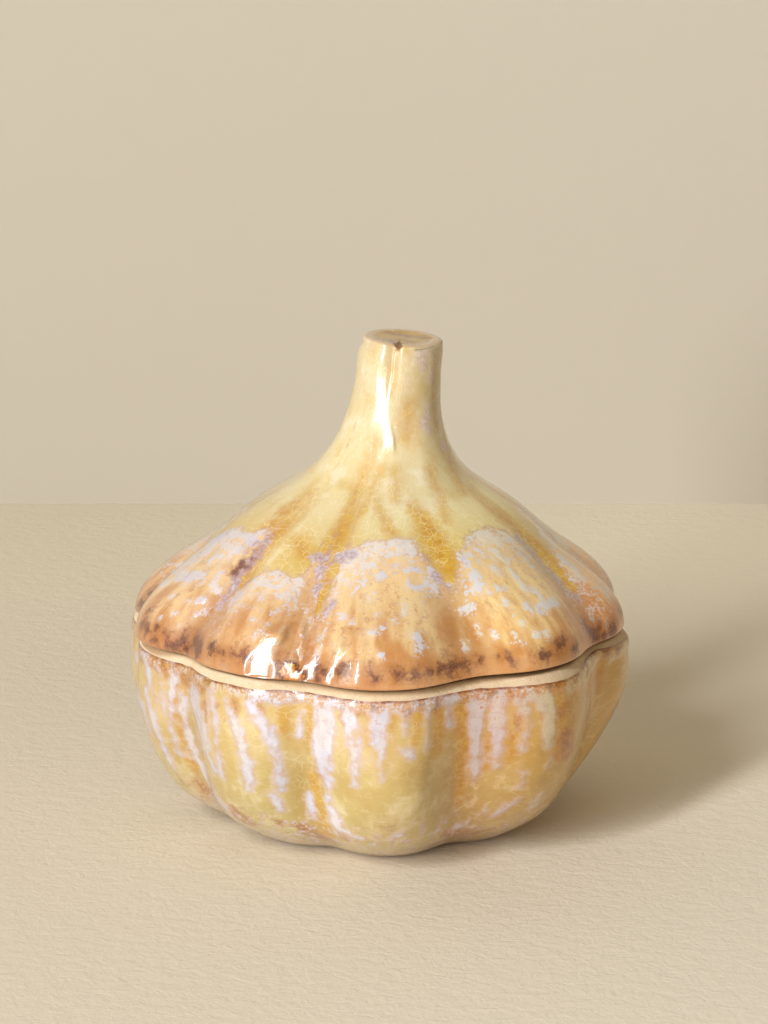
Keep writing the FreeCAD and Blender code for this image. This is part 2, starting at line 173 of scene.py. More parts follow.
# ------------------------------------------------------------------ smooth periodic noise over (phi, s), seeded
def waves(seed, phi, s, around_cells, s_len, octaves=1, gain=0.5):
    """about -1 to 1; around_cells bumps round the turn, s_len millimetres along"""
    rng = np.random.default_rng(seed)
    out, amp, norm = 0.0, 1.0, 0.0
    for o in range(octaves):
        n = int(round(around_cells * 2 ** o))
        ln = s_len / 2 ** o
        m = 400
        g = rng.uniform(-1, 1, (m, n))
        x = np.mod(phi, 360) / 360 * n
        y = s / ln + 60.0
        i, j = np.floor(x).astype(int), np.clip(np.floor(y).astype(int), 0, m - 2)
        fx, fy = x - i, np.clip(y - j, 0, 1)
        fx, fy = fx * fx * (3 - 2 * fx), fy * fy * (3 - 2 * fy)
        a, b = g[j, i % n], g[j, (i + 1) % n]
        c, d = g[j + 1, i % n], g[j + 1, (i + 1) % n]
        out = out + amp * ((a * (1 - fx) + b * fx) * (1 - fy) + (c * (1 - fx) + d * fx) * fy)
        norm += amp
        amp *= gain
    return out / norm


def strokes(phi, s, k, lines, far=-4.0, grow=0.0):
    """millimetres inside the nearest painted line, negative outside; k is millimetres per degree; a line is (phi, s, half width)"""
    out = np.full(phi.shape, far)
    wrap = lambda d: np.mod(d + 180, 360) - 180
    for line in lines:
        pts = line if len(line) > 1 else (line[0], line[0])
        pl, sl_ = [p[0] for p in pts], [p[1] for p in pts]
        reach = max(p[2] for p in pts) + grow - far
        mid, half = (min(pl) + max(pl)) / 2, (max(pl) - min(pl)) / 2
        near = (s > min(sl_) - reach) & (s < max(sl_) + reach) & (np.abs(wrap(phi - mid)) * k < half * k + reach)
        idx = np.nonzero(near)
        if not len(idx[0]):
            continue
        P, S, K = phi[idx], s[idx], k[idx]
        best = np.full(P.shape, far)
        for (pa, sa, wa), (pb, sb, wb) in zip(pts[:-1], pts[1:]):
            X, Y = wrap(P - pa) * K, S - sa
            ex, ey = (pb - pa) * K, sb - sa
            q = ex * ex + ey * ey
            t = np.clip((X * ex + Y * ey) / np.maximum(q, 1e-9), 0, 1) if len(line) > 1 else 0 * X
            best = np.maximum(best, wa + (wb - wa) * t + grow - np.hypot(X - ex * t, Y - ey * t))
        out[idx] = np.maximum(out[idx], best)
    return out


# ------------------------------------------------------------------ meshes from rings
class Rings:
    """rings of points one after another, each with its own number of columns; attributes ride along"""

    def __init__(self):
        self.rows, self.attr, self.v = [], [], []

    def add(self, xyz, v, **attr):
        self.rows.append(np.asarray(xyz, float))
        self.attr.append(attr)
        self.v.append(v)

    def build(self, name, defaults):
        start, faces, uvs = [], [], []
        n0 = 0
        for r in self.rows:
            start.append(n0)
            n0 += len(r)
        uv = lambda n, j, v: (0.004 + 0.992 * j / n, v)
        for i in range(len(self.rows) - 1):
            a, b = len(self.rows[i]), len(self.rows[i + 1])
            A, B, va, vb = start[i], start[i + 1], self.v[i], self.v[i + 1]
            if a == b:
                for j in range(a):
                    k = (j + 1) % a
                    faces.append((A + j, A + k, B + k, B + j))
                    uvs.extend((uv(a, j, va), uv(a, j + 1, va), uv(a, j + 1, vb), uv(a, j, vb)))
            elif a == 2 * b:
                for j in range(b):
                    k = (j + 1) % b
                    faces.append((A + 2 * j, A + 2 * j + 1, (A + 2 * j + 2) if k else A, B + k, B + j))
                    uvs.extend((uv(a, 2 * j, va), uv(a, 2 * j + 1, va), uv(a, 2 * j + 2, va), uv(b, j + 1, vb), uv(b, j, vb)))
            elif b == 2 * a:
                for j in range(a):
                    k = (j + 1) % a
                    faces.append((A + j, A + k, (B + 2 * j + 2) if k else B, B + 2 * j + 1, B + 2 * j))
                    uvs.extend((uv(a, j, va), uv(a, j + 1, va), uv(b, 2 * j + 2, vb), uv(b, 2 * j + 1, vb), uv(b, 2 * j, vb)))
            elif b == 1:
                for j in range(a):
                    faces.append((A + j, A + (j + 1) % a, B))
                    uvs.extend((uv(a, j, va), uv(a, j + 1, va), uv(a, j + 0.5, vb)))
            elif a == 1:
                for j in range(b):
                    faces.append((A, B + (j + 1) % b, B + j))
                    uvs.extend((uv(b, j + 0.5, va), uv(b, j + 1, vb), uv(b, j, vb)))
        co = np.concatenate(self.rows) * MM
        me = bpy.data.meshes.new(name)
        me.from_pydata(co.tolist(), [], faces)
        me.validate()
        layer = me.uv_layers.new(name="OFBake")
        layer.data.foreach_set("uv", np.array(uvs, np.float32).ravel())
        for key, base in defaults.items():
            vec = np.ndim(base) > 0
            parts = []
            for r, at in zip(self.rows, self.attr):
                val = np.asarray(at.get(key, base), float)
                parts.append(np.broadcast_to(val, (len(r), 3) if vec else (len(r),)))
            data = np.concatenate(parts).astype(np.float32)
            at = me.attributes.new(key, "FLOAT_VECTOR" if vec else "FLOAT", "POINT")
            at.data.foreach_set("vector" if vec else "value", data.ravel())
        me.polygons.foreach_set("use_smooth", [True] * len(me.polygons))
        me.update()
        ob = bpy.data.objects.new(name, me)
        bpy.context.scene.collection.objects.link(ob)
        vol = sum_volume(me)
        if vol < 0:
            me.flip_normals()
            vol = -vol
        print(name, "faces", len(me.polygons), "vertices", len(me.vertices), "cm3", round(vol * 1e6, 2))
        return ob


def sum_volume(me):
    me.calc_loop_triangles()
    n = len(me.loop_triangles)
    tri = np.empty(n * 3, np.int32)
    me.loop_triangles.foreach_get("vertices", tri)
    co = np.empty(len(me.vertices) * 3, np.float32)
    me.vertices.foreach_get("co", co)
    p = co.reshape(-1, 3).astype(float)[tri.reshape(-1, 3)]
    print("triangles", n)
    return float(np.einsum("ij,ij->i", p[:, 0], np.cross(p[:, 1], p[:, 2])).sum() / 6)


def columns(n):
    return np.arange(n) * 360.0 / n - 180.0


def place(r, z, phi, dx=0.0):
    a = np.radians(phi)
    return np.stack([r * np.sin(a) + CENTRE_X + dx, -r * np.cos(a) + CENTRE_Y, z + 0 * r], -1)


def smooth_rows(P, mask, times):
    """softens the corners of a profile where the mask says, along the rows"""
    P = P.copy()
    for _ in range(times):
        Q = P.copy()
        Q[1:-1] = 0.25 * P[:-2] + 0.5 * P[1:-1] + 0.25 * P[2:]
        P = P + mask[:, None, None] * (Q - P)
    return P


def normals_of(P):
    """unit normals of a grid of rows and columns, pointing away from the axis or up"""
    du = np.roll(P, -1, 1) - np.roll(P, 1, 1)
    dv = np.gradient(P, axis=0)
    n = np.cross(du, dv)
    n /= np.maximum(np.linalg.norm(n, axis=-1, keepdims=True), 1e-12)
    return n
BOWL_WHITE = [
    ((-89.2, 9.7, 2), (-68.2, 15.1, 2.4), (-67.6, 21.5, 2)),
    ((-65.6, 10.1, 1.7), (-63.4, 16.6, 1.85), (-63, 23.4, 1.12), (-64, 33.7, 0.62)),
    ((-66.8, 1.1, 2.03), (-64, 5.5, 1.85), (-61.2, 11.3, 0.97)),
    ((-60.2, 2.5, 1.15), (-59.4, 8.3, 0.78), (-58.8, 14.1, 0.64)),
    ((-56, 1.3, 1.23), (-56.8, 10.3, 0.96), (-58.6, 18, 0.96), (-59.8, 26.2, 0.62)),
    ((-53.4, 9.5, 1.52), (-54.6, 19.9, 1.22), (-55.2, 26.8, 1.21), (-51.6, 33, 3.2), (-44.4, 38.9, 2.33)),
    ((-47.2, 6.7, 3.6), (-44.2, 14.5, 3.2), (-43.4, 20.5, 2), (-41.6, 25.3, 1.12)),
    ((-40.2, 2.7, 1.31), (-38.8, 10.1, 1.13), (-38.8, 19, 1.12), (-39.2, 25.7, 0.88)),
    ((-36, 4.3, 0.75), (-34, 7.7, 1.2), (-31.8, 13.3, 1.8), (-30.8, 18.4, 1.93), (-31.4, 24.9, 1.59), (-32.4, 28.3, 0.85)),
    ((-29.6, 4.1, 1.51), (-27.2, 8.3, 1.85), (-25.2, 12.5, 1.56), (-24.4, 18, 1.47), (-24.2, 23.2, 1.35), (-24.4, 27.9, 0.84)),
    ((-27, 29.7, 0.9), (-26.2, 32.1, 1.08), (-25.4, 35.1, 0.96)),
    ((-18.2, 5.5, 0.71), (-18.6, 11.7, 0.71)),
    ((-19, 29.9, 0.54), (-18.6, 33.3, 0.77), (-17.6, 38.2, 0.92)),
    ((-11.8, 0.7, 2.8), (-12.2, 7.7, 2.56), (-13.2, 14.3, 2.75), (-13, 20.3, 2.46), (-12.2, 24.9, 1.51)),
    ((-13, 29.4, 1.2),),
    ((-12.2, 34, 1.34), (-11.2, 37.2, 1.77), (-10.6, 40.2, 1.47)),
    ((-5.8, 1.3, 2.16), (-5.6, 6.3, 2.04), (-5.4, 11.5, 1.68), (-5, 17, 1.47), (-5.4, 23, 1)),
    ((0, 0.3, 3.12), (0.2, 5.1, 2.64), (0.6, 10.3, 2.16), (0.8, 15.1, 1.2), (0.8, 20.5, 0.72)),
    ((5.4, 3.3, 1.44), (5.6, 5.9, 1.08), (5.6, 8.7, 0.6)),
    ((4.8, 12.5, 1.09), (6.4, 13.9, 0.96)),
    ((10.6, 1.3, 1.42), (10.6, 6.1, 0.96), (10.6, 12.9, 0.5)),
    ((15.6, 4.7, 0.77), (16.2, 8.5, 0.77)),
    ((16.2, 13.9, 0.63),),
    ((23.4, 0.7, 2.87), (23.2, 5.9, 2.44), (23.6, 13.7, 1.68), (24, 21.3, 1.77), (24.4, 25.3, 1.33)),
    ((28.6, 1.1, 2.16), (28, 7.9, 2.66), (28.8, 13.3, 1.56), (29, 18.4, 1.68), (29.4, 22.1, 1.32)),
    ((32.6, 0.9, 2.18), (33.6, 4.9, 1.78), (34.4, 9.3, 1.22), (34, 13.1, 0.98), (34, 16.6, 0.73)),
    ((35.6, 1.3, 3.53), (37.2, 2.7, 3.16), (39.4, 7.5, 2.2), (39.6, 12.9, 2.18), (39.6, 16.6, 1.23)),
    ((40.6, 20.1, 0.95), (41, 23.2, 0.75)),
    ((35.2, 23.6, 0.6), (36.2, 29, 0.6)),
    ((42.4, 33.3, 1.57), (43, 36.5, 1.65)),
    ((36.4, 33.7, 1.4), (34.6, 36.3, 1.08), (32.4, 39.2, 1.09)),
    ((28.6, 44.4, 1.01),),
    ((25.8, 41.7, 1.19), (23.4, 42.5, 1.32)),
    ((29, 38.4, 0.72), (29.4, 36.3, 0.65)),
    ((16, 41.7, 0.96), (16.8, 37.9, 0.73)),
    ((10.6, 40.9, 0.73), (10.6, 36.8, 0.61)),
    ((-9.2, 40.2, 1.49), (-7, 42.2, 1.04), (-3.8, 42.7, 0.87)),
    ((4.4, 40.9, 1.06), (6, 40.2, 0.72)),
    ((68.6, 0.7, 2.81), (72, 0.7, 2.73)),
    ((56.8, 1.7, 4.8), (61.6, 1.7, 2.59)),
    ((44.4, 3.1, 1.75), (48, 2.1, 2.19)),
    ((-28.2, 1.3, 2.4), (-23, 1.1, 2.44), (-18.4, 1.5, 1.42)),
    ((-8.4, 0.7, 2.21), (-4.8, 0.9, 2.18)),
    ((4.6, 0.9, 2.46), (7.8, 1.1, 1.68), (13.8, 1.1, 2.19), (17.8, 1.1, 1.78)),
]
BOWL_AMBER = [
    ((-22.4, 2.1, 1.32), (-22.2, 5.7, 1.08), (-22.4, 9.9, 1.11)),
    ((-14.8, 2.5, 1.34), (-15.2, 7.1, 1.33), (-16, 12.7, 1.16)),
    ((-19, 2.1, 2.64),),
    ((3, 2.7, 1.68), (2.6, 6.1, 1.32), (2, 9.7, 0.96)),
    ((8.8, 2.9, 2.2), (8.6, 6.7, 1.2), (8, 10.7, 0.84)),
    ((13.6, 3.1, 2.37), (13.4, 8.3, 2.1), (13, 14.1, 1.68)),
    ((20.8, 2.5, 4.59), (20.8, 6.7, 3.24), (20.8, 13.3, 2.53), (21.2, 22.4, 2.02), (21.6, 32.4, 1.29)),
    ((-55.6, 10.1, 1.55), (-56.2, 17, 1.24), (-57, 23.8, 1.07), (-57.2, 31, 1.05)),
    ((-48.6, 44.7, 3.2), (-48.2, 39.9, 3.2)),
    ((64.4, 2.5, 2.01), (63.8, 5.1, 2.55)),
    ((53.2, 2.7, 4), (49.4, 4.7, 3.87)),
    ((31.2, 12.7, 1.45), (31.8, 19.9, 1.1)),
    ((26, 13.9, 1.48), (27, 21.3, 1.16)),
    ((-14.6, 46.3, 1.71), (-14.8, 35.3, 1.37), (-16, 29.9, 0.92), (-16.4, 23.6, 0.82)),
    ((44, 5.5, 3.43), (43.4, 12.1, 4.68), (43.8, 19.2, 3.46)),
]
BOWL_RUST = [
    ((-71, 0.7, 3.6), (-62.2, 1.1, 2.27), (-58.2, 3.1, 1.56)),
    ((-56.8, 3.9, 0.94), (-55.6, 5.7, 1.16)),
    ((-52.2, 3.3, 1.72), (-44.8, 3.1, 2.75)),
    ((-42.6, 7.3, 1.37), (-42.2, 11.1, 0.92)),
    ((-39, 6.5, 1.13),),
    ((-33.2, 3.7, 0.9), (-32.8, 7.7, 0.9)),
    ((-27.2, 4.1, 0.84), (-26.8, 5.7, 0.93)),
    ((-25.2, 11.9, 0.96),),
    ((-24.4, 17, 0.73),),
    ((-12, 2.7, 1.41), (-12.4, 4.3, 1.25)),
    ((-11.8, 9.5, 1.62),),
    ((-13.2, 17, 1.3), (-14, 21.9, 1.41)),
    ((-7.6, 4.3, 0.84), (-6.6, 5.7, 0.96)),
    ((-5.6, 2.1, 0.72),),
    ((-0.6, 7.9, 1.39), (-0.2, 10.3, 0.72)),
    ((0.8, 2.3, 1.23),),
    ((-2.2, 2.7, 1.08),),
    ((5.8, 3.5, 0.96),),
    ((21.6, 2.7, 0.86),),
    ((26, 2.1, 1.49), (24.8, 3.7, 1.02)),
    ((29.6, 3.3, 0.96),),
    ((32.6, 8.1, 1.1), (32.2, 10.3, 0.98)),
    ((29.4, 11.5, 0.97),),
    ((38.6, 5.9, 1.26), (38.6, 8.5, 0.94)),
    ((39, 15.3, 1.09),),
    ((-22.6, 41.9, 1.78), (-20.4, 46, 2.26), (-17, 48.6, 2.43)),
    ((-27.4, 40.4, 1.59),),
    ((-40.8, 39.9, 3.26), (-38.8, 42.7, 3.21)),
    ((-57.2, 37.5, 2.18), (-55.6, 39.9, 3.6)),
    ((20.2, 44.4, 2.51), (30, 49, 1.36), (35, 46.9, 1.3)),
    ((28.6, 44.4, 0.43),),
    ((-9.4, 44.7, 1.41),),
    ((7, 43.9, 1.1),),
    ((44.6, 15.1, 2.34), (47.2, 20.9, 2.45)),
    ((42.4, 8.3, 1.56),),
    ((28.6, 0.1, 1.44), (32.8, 0.5, 1.7), (38.4, 0.3, 1.2)),
    ((42.6, 0.5, 1.75), (46.2, 0.1, 1.56)),
]
LID_WHITE = [
    ((-77.8, 20.5, 3.6), (-75.2, 23.6, 3.58), (-72, 25.6, 2.19)),
    ((-72.6, 27, 2.11), (-72.6, 28.9, 2.82)),
    ((-75, 32.1, 3.34), (-70, 35.5, 2.48), (-62.2, 37.4, 1.58)),
    ((-66, 33.3, 1.89), (-58.4, 33.6, 1.8)),
    ((-70.6, 20.2, 2.36), (-64.6, 21.6, 2.33), (-61, 23.3, 1.69)),
    ((-64.6, 28.3, 1.4), (-62, 30.2, 1.54)),
    ((-72.6, 16.2, 2.38),),
    ((-56.6, 25.6, 0.97), (-55.8, 21.2, 0.97), (-53.6, 19.5, 0.95)),
    ((-56.2, 36.4, 1.26), (-51, 35.2, 1.03)),
    ((-55.6, 15.2, 1.06),),
    ((-59.2, 20.5, 1.06),),
    ((-63.2, 18.5, 0.88),),
    ((-58.2, 14.6, 0.75),),
    ((-59.4, 10.3, 0.94),),
    ((-61.8, 8.2, 0.98),),
    ((-53.4, 13.1, 0.59),),
    ((-54, 10.8, 0.77),),
    ((-56.8, 7, 0.55),),
    ((-64.4, 14.6, 0.68),),
    ((-53.8, 3.9, 0.62),),
    ((-36.2, 26, 1.17), (-32.4, 26, 1.46), (-30.6, 27.3, 1.36)),
    ((-39.4, 27.6, 0.98), (-37, 29.6, 0.97), (-33.4, 29.6, 0.78)),
    ((-28.4, 25, 1.44), (-25.8, 22.3, 1.19), (-23.8, 19.9, 1.05)),
    ((-28.6, 27.3, 0.72),),
    ((-44.8, 19.2, 2.14), (-45.2, 17.2, 1.9)),
    ((-29.4, 18.5, 1.19),),
    ((-27.2, 21.2, 0.93),),
    ((-33.6, 15.2, 0.82),),
    ((-35.8, 12.8, 0.67),),
    ((-29.8, 14, 0.6),),
    ((-31, 10.6, 0.83),),
    ((-31, 12, 0.69),),
    ((-15.2, 37.4, 1.07), (-11.4, 38.7, 1.19), (-8.4, 39.3, 0.91)),
    ((-6.4, 41, 0.88), (-2.6, 42, 0.86), (1.4, 42, 0.74)),
    ((5.6, 41.7, 1.44), (9.6, 41, 1.76), (11.8, 38.7, 1.58)),
    ((2.4, 40, 1.03), (5.4, 38, 1.08)),
    ((-3, 35.8, 1.14), (-0.8, 33.9, 1.09), (0.6, 31.7, 0.88)),
    ((10, 33.6, 1.09), (14, 32.7, 0.96), (15.4, 28.6, 1.32), (12.4, 27.6, 1.05), (9.2, 28.9, 0.91), (9.2, 31.4, 0.63)),
    ((-4.8, 30.5, 1.03), (-6.4, 28.3, 0.94), (-8, 26.3, 0.6)),
    ((-1.4, 27, 0.72), (-2.4, 25, 0.6)),
    ((-10, 19.5, 1.21),),
    ((-0.4, 20.9, 0.61),),
    ((1.4, 16.5, 0.79),),
    ((-0.8, 15.2, 0.94), (-2.2, 14.9, 0.54)),
    ((7.2, 23.3, 0.88), (7, 20.9, 0.74)),
    ((9.2, 14.3, 1.2), (10, 11.7, 1.66), (9.4, 10, 1.34)),
    ((0.6, 9.2, 0.87),),
    ((17.8, 32.7, 1.16), (18, 28.6, 1.24), (18.2, 25, 0.69)),
    ((22.8, 27.3, 0.77),),
    ((-21.2, 33.9, 0.84), (-21.2, 30.5, 0.74)),
    ((-6.8, 17.8, 0.51),),
    ((4.4, 18.8, 0.51),),
    ((-4.6, 22.6, 0.6),),
    ((30.8, 35.5, 1.6), (32.2, 33.3, 1.75)),
    ((32.8, 29.9, 1.53), (33.4, 27, 1.8), (31, 24.3, 1.32)),
    ((38.8, 37.4, 1.12), (40, 35.2, 1.27)),
    ((45.6, 35.8, 1.42), (47.4, 33.6, 1.63), (48, 31.1, 1.4)),
    ((46.6, 28.9, 1.29), (46.8, 25.6, 1.32), (46.6, 22.3, 1.42)),
    ((25, 18.5, 1.32), (27.6, 20.2, 1.36)),
    ((34.8, 24.6, 1.01), (38, 24.6, 0.77), (40, 24, 0.9)),
    ((36.8, 19.2, 1.03), (37.6, 20.9, 0.61)),
    ((42.2, 18.5, 1.23), (42.6, 16.2, 1.47)),
    ((45.2, 15.9, 1.48), (49.2, 16.8, 1.65), (53.2, 16.2, 1.82)),
    ((37.6, 13.7, 0.72),),
    ((39.8, 10, 1),),
    ((43.2, 9.5, 0.88), (42.6, 8.5, 0.89)),
    ((27.2, 13.1, 0.36), (26.6, 11.1, 0.54)),
    ((30.4, 11.4, 0.44), (29.8, 9.8, 0.45)),
    ((35.2, 10, 0.64), (34.6, 7.7, 0.72)),
    ((21.8, 8.7, 0.93), (21.8, 7.5, 0.81)),
    ((36.6, 15.9, 0.54),),
    ((41.8, 28.6, 1.11), (40.8, 31.1, 1.22)),
    ((49, 20.9, 1.46), (49.4, 18.8, 1.12)),
    ((44.8, 39.3, 1.22), (49.8, 38, 1.11)),
    ((55.2, 34.5, 1.22), (56.8, 31.4, 1.4), (58, 27.6, 1.44)),
    ((37.2, 38.7, 0.68),),
    ((52.4, 31.1, 0.9),),
    ((76.6, 25.3, 1.72), (76.2, 22.9, 1.93), (74.8, 20.5, 2.06)),
    ((75.2, 19.5, 1.4), (73.4, 16.8, 1.08)),
    ((77.6, 13.7, 1.75), (77.2, 10.8, 2.59)),
    ((70.2, 12, 0.82),),
    ((67.6, 9.2, 0.57), (65, 6, 0.77)),
    ((71, 17.5, 0.99),),
    ((71.8, 10.3, 0.81),),
    ((71.6, 14.6, 0.83),),
]
LID_LAV = [
    ((-52.4, 40.7, 0.74), (-49.8, 37.4, 1.23), (-49.6, 32.7, 1.5), (-50.6, 28.9, 1.42), (-50.8, 24.6, 1.37), (-50.2, 19.2, 1.07), (-49.8, 14.3, 1.09)),
    ((-25.8, 36.7, 0.96), (-21.6, 35.8, 1.1), (-20.8, 33, 0.89), (-21, 29.9, 0.87)),
    ((-17.4, 35.2, 0.97), (-14.2, 37.1, 1.08), (-11.4, 38.7, 1.05)),
    ((-21.2, 25.6, 0.84), (-19.4, 27.6, 0.93)),
    ((-15.4, 19.9, 0.88), (-13, 22.9, 0.85)),
    ((62.2, 36.1, 1.26), (65.8, 31.4, 1.35), (66.6, 25, 1.03), (66.4, 19.5, 0.95), (64.8, 14.9, 0.95)),
    ((22.6, 27, 0.9), (23.6, 25.6, 0.6)),
    ((18.8, 30.8, 0.89), (21.2, 27.9, 0.77)),
    ((67.2, 15.6, 0.8), (66.2, 11.7, 0.79)),
    ((26, 94.1, 1.69), (32.8, 91.9, 1.47)),
    ((48.2, 89.3, 0.95), (48.8, 87.7, 0.99)),
    ((45, 81.1, 0.9), (43, 77.9, 1.54), (41.8, 74.8, 1.31)),
    ((65.2, 68.9, 1.57),),
    ((43.8, 50.5, 0.46),),
    ((43, 95.1, 1.04), (51.8, 92.7, 1.06)),
]
LID_BROWN = [
    ((-89.6, 2.4, 1.6), (-80, 3.2, 1.4)),
    ((-51.2, 34.5, 0.77),),
    ((-52, 28.6, 0.84), (-52, 26.3, 0.63)),
    ((-50.4, 31.7, 0.5),),
    ((-67.2, 5.2, 1.6), (-64.8, 4.3, 1.4)),
    ((-58.4, 4.1, 0.98),),
    ((-54.4, 4.3, 1.38), (-53, 2.8, 1.26)),
    ((-49.8, 4.3, 2.09), (-47, 3.2, 2.05)),
    ((-42.4, 5.6, 1.3),),
    ((-35.4, 4.9, 0.73), (-31.6, 5.4, 1.16)),
    ((-61.2, 2.2, 0.96),),
    ((-57, 1.8, 1.32), (-54.8, 0.6, 1.23)),
    ((-24.4, 4.9, 0.84), (-23.4, 3.2, 0.72)),
    ((-22, 1.6, 1.2), (-18.2, 1.4, 1.44)),
    ((-15.2, 4.1, 1.49),),
    ((-14, 1.4, 1.51),),
    ((-12.4, 3.7, 1.08),),
    ((-7.8, 4.9, 1.87),),
    ((-1.6, 4.9, 1.32), (-0.6, 3.7, 1.08)),
    ((4, 4.3, 1.68),),
    ((8.4, 4.1, 1.52),),
    ((11, 4.3, 1.57),),
    ((14, 4.3, 1.52), (17.2, 4.3, 1.9), (20.2, 4.1, 1.41)),
    ((24.8, 4.7, 1.12),),
    ((29.4, 4.5, 0.74), (31.4, 3.9, 1.08)),
    ((37.8, 3.9, 1.08), (40.8, 4.3, 1.36)),
    ((44.8, 5.4, 2.06), (46.6, 6.5, 1.48)),
    ((50, 3, 1.85),),
    ((61.4, 5.6, 1.96), (62.2, 3.7, 2.6), (63.4, 2, 2.43)),
    ((66.6, 2.2, 1.1),),
    ((71, 3, 1.89), (69.6, 2, 1.4)),
    ((66, 3.7, 1.11),),
    ((77, 4.7, 1.6),),
    ((-68.2, 8, 0.91),),
    ((-61.4, 5.6, 0.81),),
    ((-39.8, 4.7, 1.09),),
    ((-37.6, 4.5, 0.73),),
    ((-28, 4.1, 0.6),),
    ((18.2, 2, 0.88),),
]
LID_TAN = [
    ((46.6, 48.2, 0.3), (53, 39, 0.9), (58.6, 28.6, 1.1), (63.4, 18.8, 1.3), (62.2, 13.1, 1.1)),
    ((-15.8, 17.5, 1.37), (-14, 15.2, 1.45)),
    ((19.8, 15.9, 1.35), (19.6, 12.5, 1.07)),
    ((20.4, 19.5, 1.02),),
    ((18.8, 24.6, 0.94),),
    ((-36, 21.2, 1.05), (-33.4, 19.9, 0.78)),
    ((-44.2, 25, 1.27),),
    ((-25.8, 25.3, 0.86),),
    ((-17.6, 10.6, 1.17), (-16.4, 7, 1.24)),
    ((-23, 14.3, 0.72),),
    ((-53.4, 17.2, 0.76), (-51.6, 12.2, 0.73)),
    ((-41.8, 13.1, 1.63), (-40.4, 9, 1.23)),
    ((26.8, 17.8, 0.86),),
    ((19.4, 10.3, 1.47), (22.6, 6, 1.37)),
    ((34.2, 6, 1.54), (30, 6.7, 0.96)),
    ((15.2, 23.6, 0.98),),
    ((-21.2, 22.3, 0.55), (-19.4, 18.5, 0.6)),
    ((-8, 14.6, 0.84),),
    ((10.4, 8, 1.31),),
    ((-67.2, 26, 0.83),),
    ((-57, 27.9, 0.92),),
    ((-61.4, 24.6, 0.82),),
    ((-64, 33.9, 1.1),),
    ((-56.6, 34.9, 0.97),),
    ((-33.4, 22.9, 0.87), (-30.4, 22.3, 0.89)),
    ((-25, 25.6, 0.6),),
    ((-5.6, 37.4, 0.68),),
    ((1, 38, 0.8),),
    ((3.6, 36.4, 0.6),),
    ((14.6, 36.1, 0.6),),
    ((45.4, 31.4, 0.77),),
    ((55, 33, 0.79),),
    ((30.2, 28.3, 0.67), (27.6, 25, 0.75)),
]
LID_AMBER = [
    ((-51.8, 42.4, 3.87), (-50.6, 36.4, 2.33), (-49.6, 30.5, 1.72), (-47.6, 24.6, 1.93), (-47.6, 17.8, 1.65), (-49.2, 13.1, 0.93)),
    ((-55.2, 48.6, 2.79), (-54.2, 54.2, 1.91)),
    ((-19, 49, 1.21), (-19, 43.8, 1.08), (-20.4, 39.3, 0.84), (-19.8, 34.2, 0.72)),
    ((-19.4, 25.3, 1.07), (-18.8, 21.2, 0.98), (-18.8, 16.8, 0.6)),
    ((-17.8, 29.6, 0.89), (-17.8, 24.6, 0.83)),
    ((-18.6, 72.4, 0.92), (-19.8, 66.2, 0.97), (-20.6, 59.1, 1.07), (-19, 49.7, 1.19), (-19, 42.4, 1.05)),
    ((-6.4, 56.6, 0.8), (-0.2, 49.7, 1.07), (3.8, 45.6, 0.96)),
    ((65.2, 68.9, 1.57), (65.6, 63.7, 1.67), (56.6, 56.3, 1.26)),
    ((15.8, 54.5, 1.28), (20.2, 49, 1.68), (22.8, 42, 2.25), (24.8, 35.8, 2.37), (25.8, 30.8, 1.29)),
    ((64, 55.2, 1.3), (64, 47.8, 1.72), (67.2, 38.3, 1.74), (71.4, 31.1, 1.72), (71.6, 24.3, 1.54), (69.2, 18.2, 1.55), (66.6, 12.2, 1.3)),
    ((-9.4, 96.9, 0.63), (-0.4, 95.3, 0.7), (-7.6, 90.5, 0.94), (-8.8, 85.5, 0.67)),
    ((15.2, 81.9, 1.61), (16.6, 78.1, 2.14), (16, 73.7, 1.57)),
    ((-8, 65.2, 0.65), (-10.6, 59.4, 0.8), (-12.8, 52.4, 0.74)),
    ((36.6, 64.2, 0.92), (36.6, 56.6, 1.03), (31.6, 48.2, 0.83)),
    ((4.8, 65.2, 0.52), (7.4, 56.3, 0.68)),
    ((-36.8, 40.7, 1.38), (-29, 36.7, 1.1)),
]
LID_LINE = [(-80.4, 26.6), (-94.8, 25.0), (-94.8, 27.3), (-80.2, 33.9), (-69.8, 37.4), (-60.4, 38.7), (-54.6, 41.0), (-51.0, 40.7), (-48.8, 36.4), (-48.6, 31.4), (-49.8, 26.0), (-50.0, 18.8), (-49.2, 13.1), (-49.4, 16.2), (-49.0, 20.5), (-43.6, 25.3), (-39.4, 29.2), (-34.8, 30.8), (-28.6, 28.6), (-25.4, 27.9), (-22.0, 24.0), (-19.8, 18.5), (-18.2, 15.6), (-17.2, 17.8), (-15.4, 20.9), (-14.4, 24.3), (-18.4, 27.0), (-19.8, 30.8), (-24.8, 35.5), (-24.2, 37.1), (-20.8, 36.4), (-15.6, 37.4), (-12.4, 39.3), (-5.6, 42.0), (6.0, 43.1), (11.4, 42.4), (14.2, 39.3), (17.4, 34.9), (20.4, 30.8), (23.6, 26.3), (25.6, 26.6), (28.4, 30.2), (29.0, 34.9), (32.8, 38.3), (37.2, 41.3), (45.0, 42.4), (52.2, 41.7), (57.4, 39.0), (62.0, 34.9), (67.6, 29.9), (68.6, 24.0), (67.4, 18.2), (65.2, 12.0), (64.6, 8.5), (68.0, 11.4), (69.8, 16.8), (72.8, 23.3), (77.2, 27.0), (95.0, 21.6), (98.8, 17.2), (98.8, 12.8), (98.2, 8.0)]

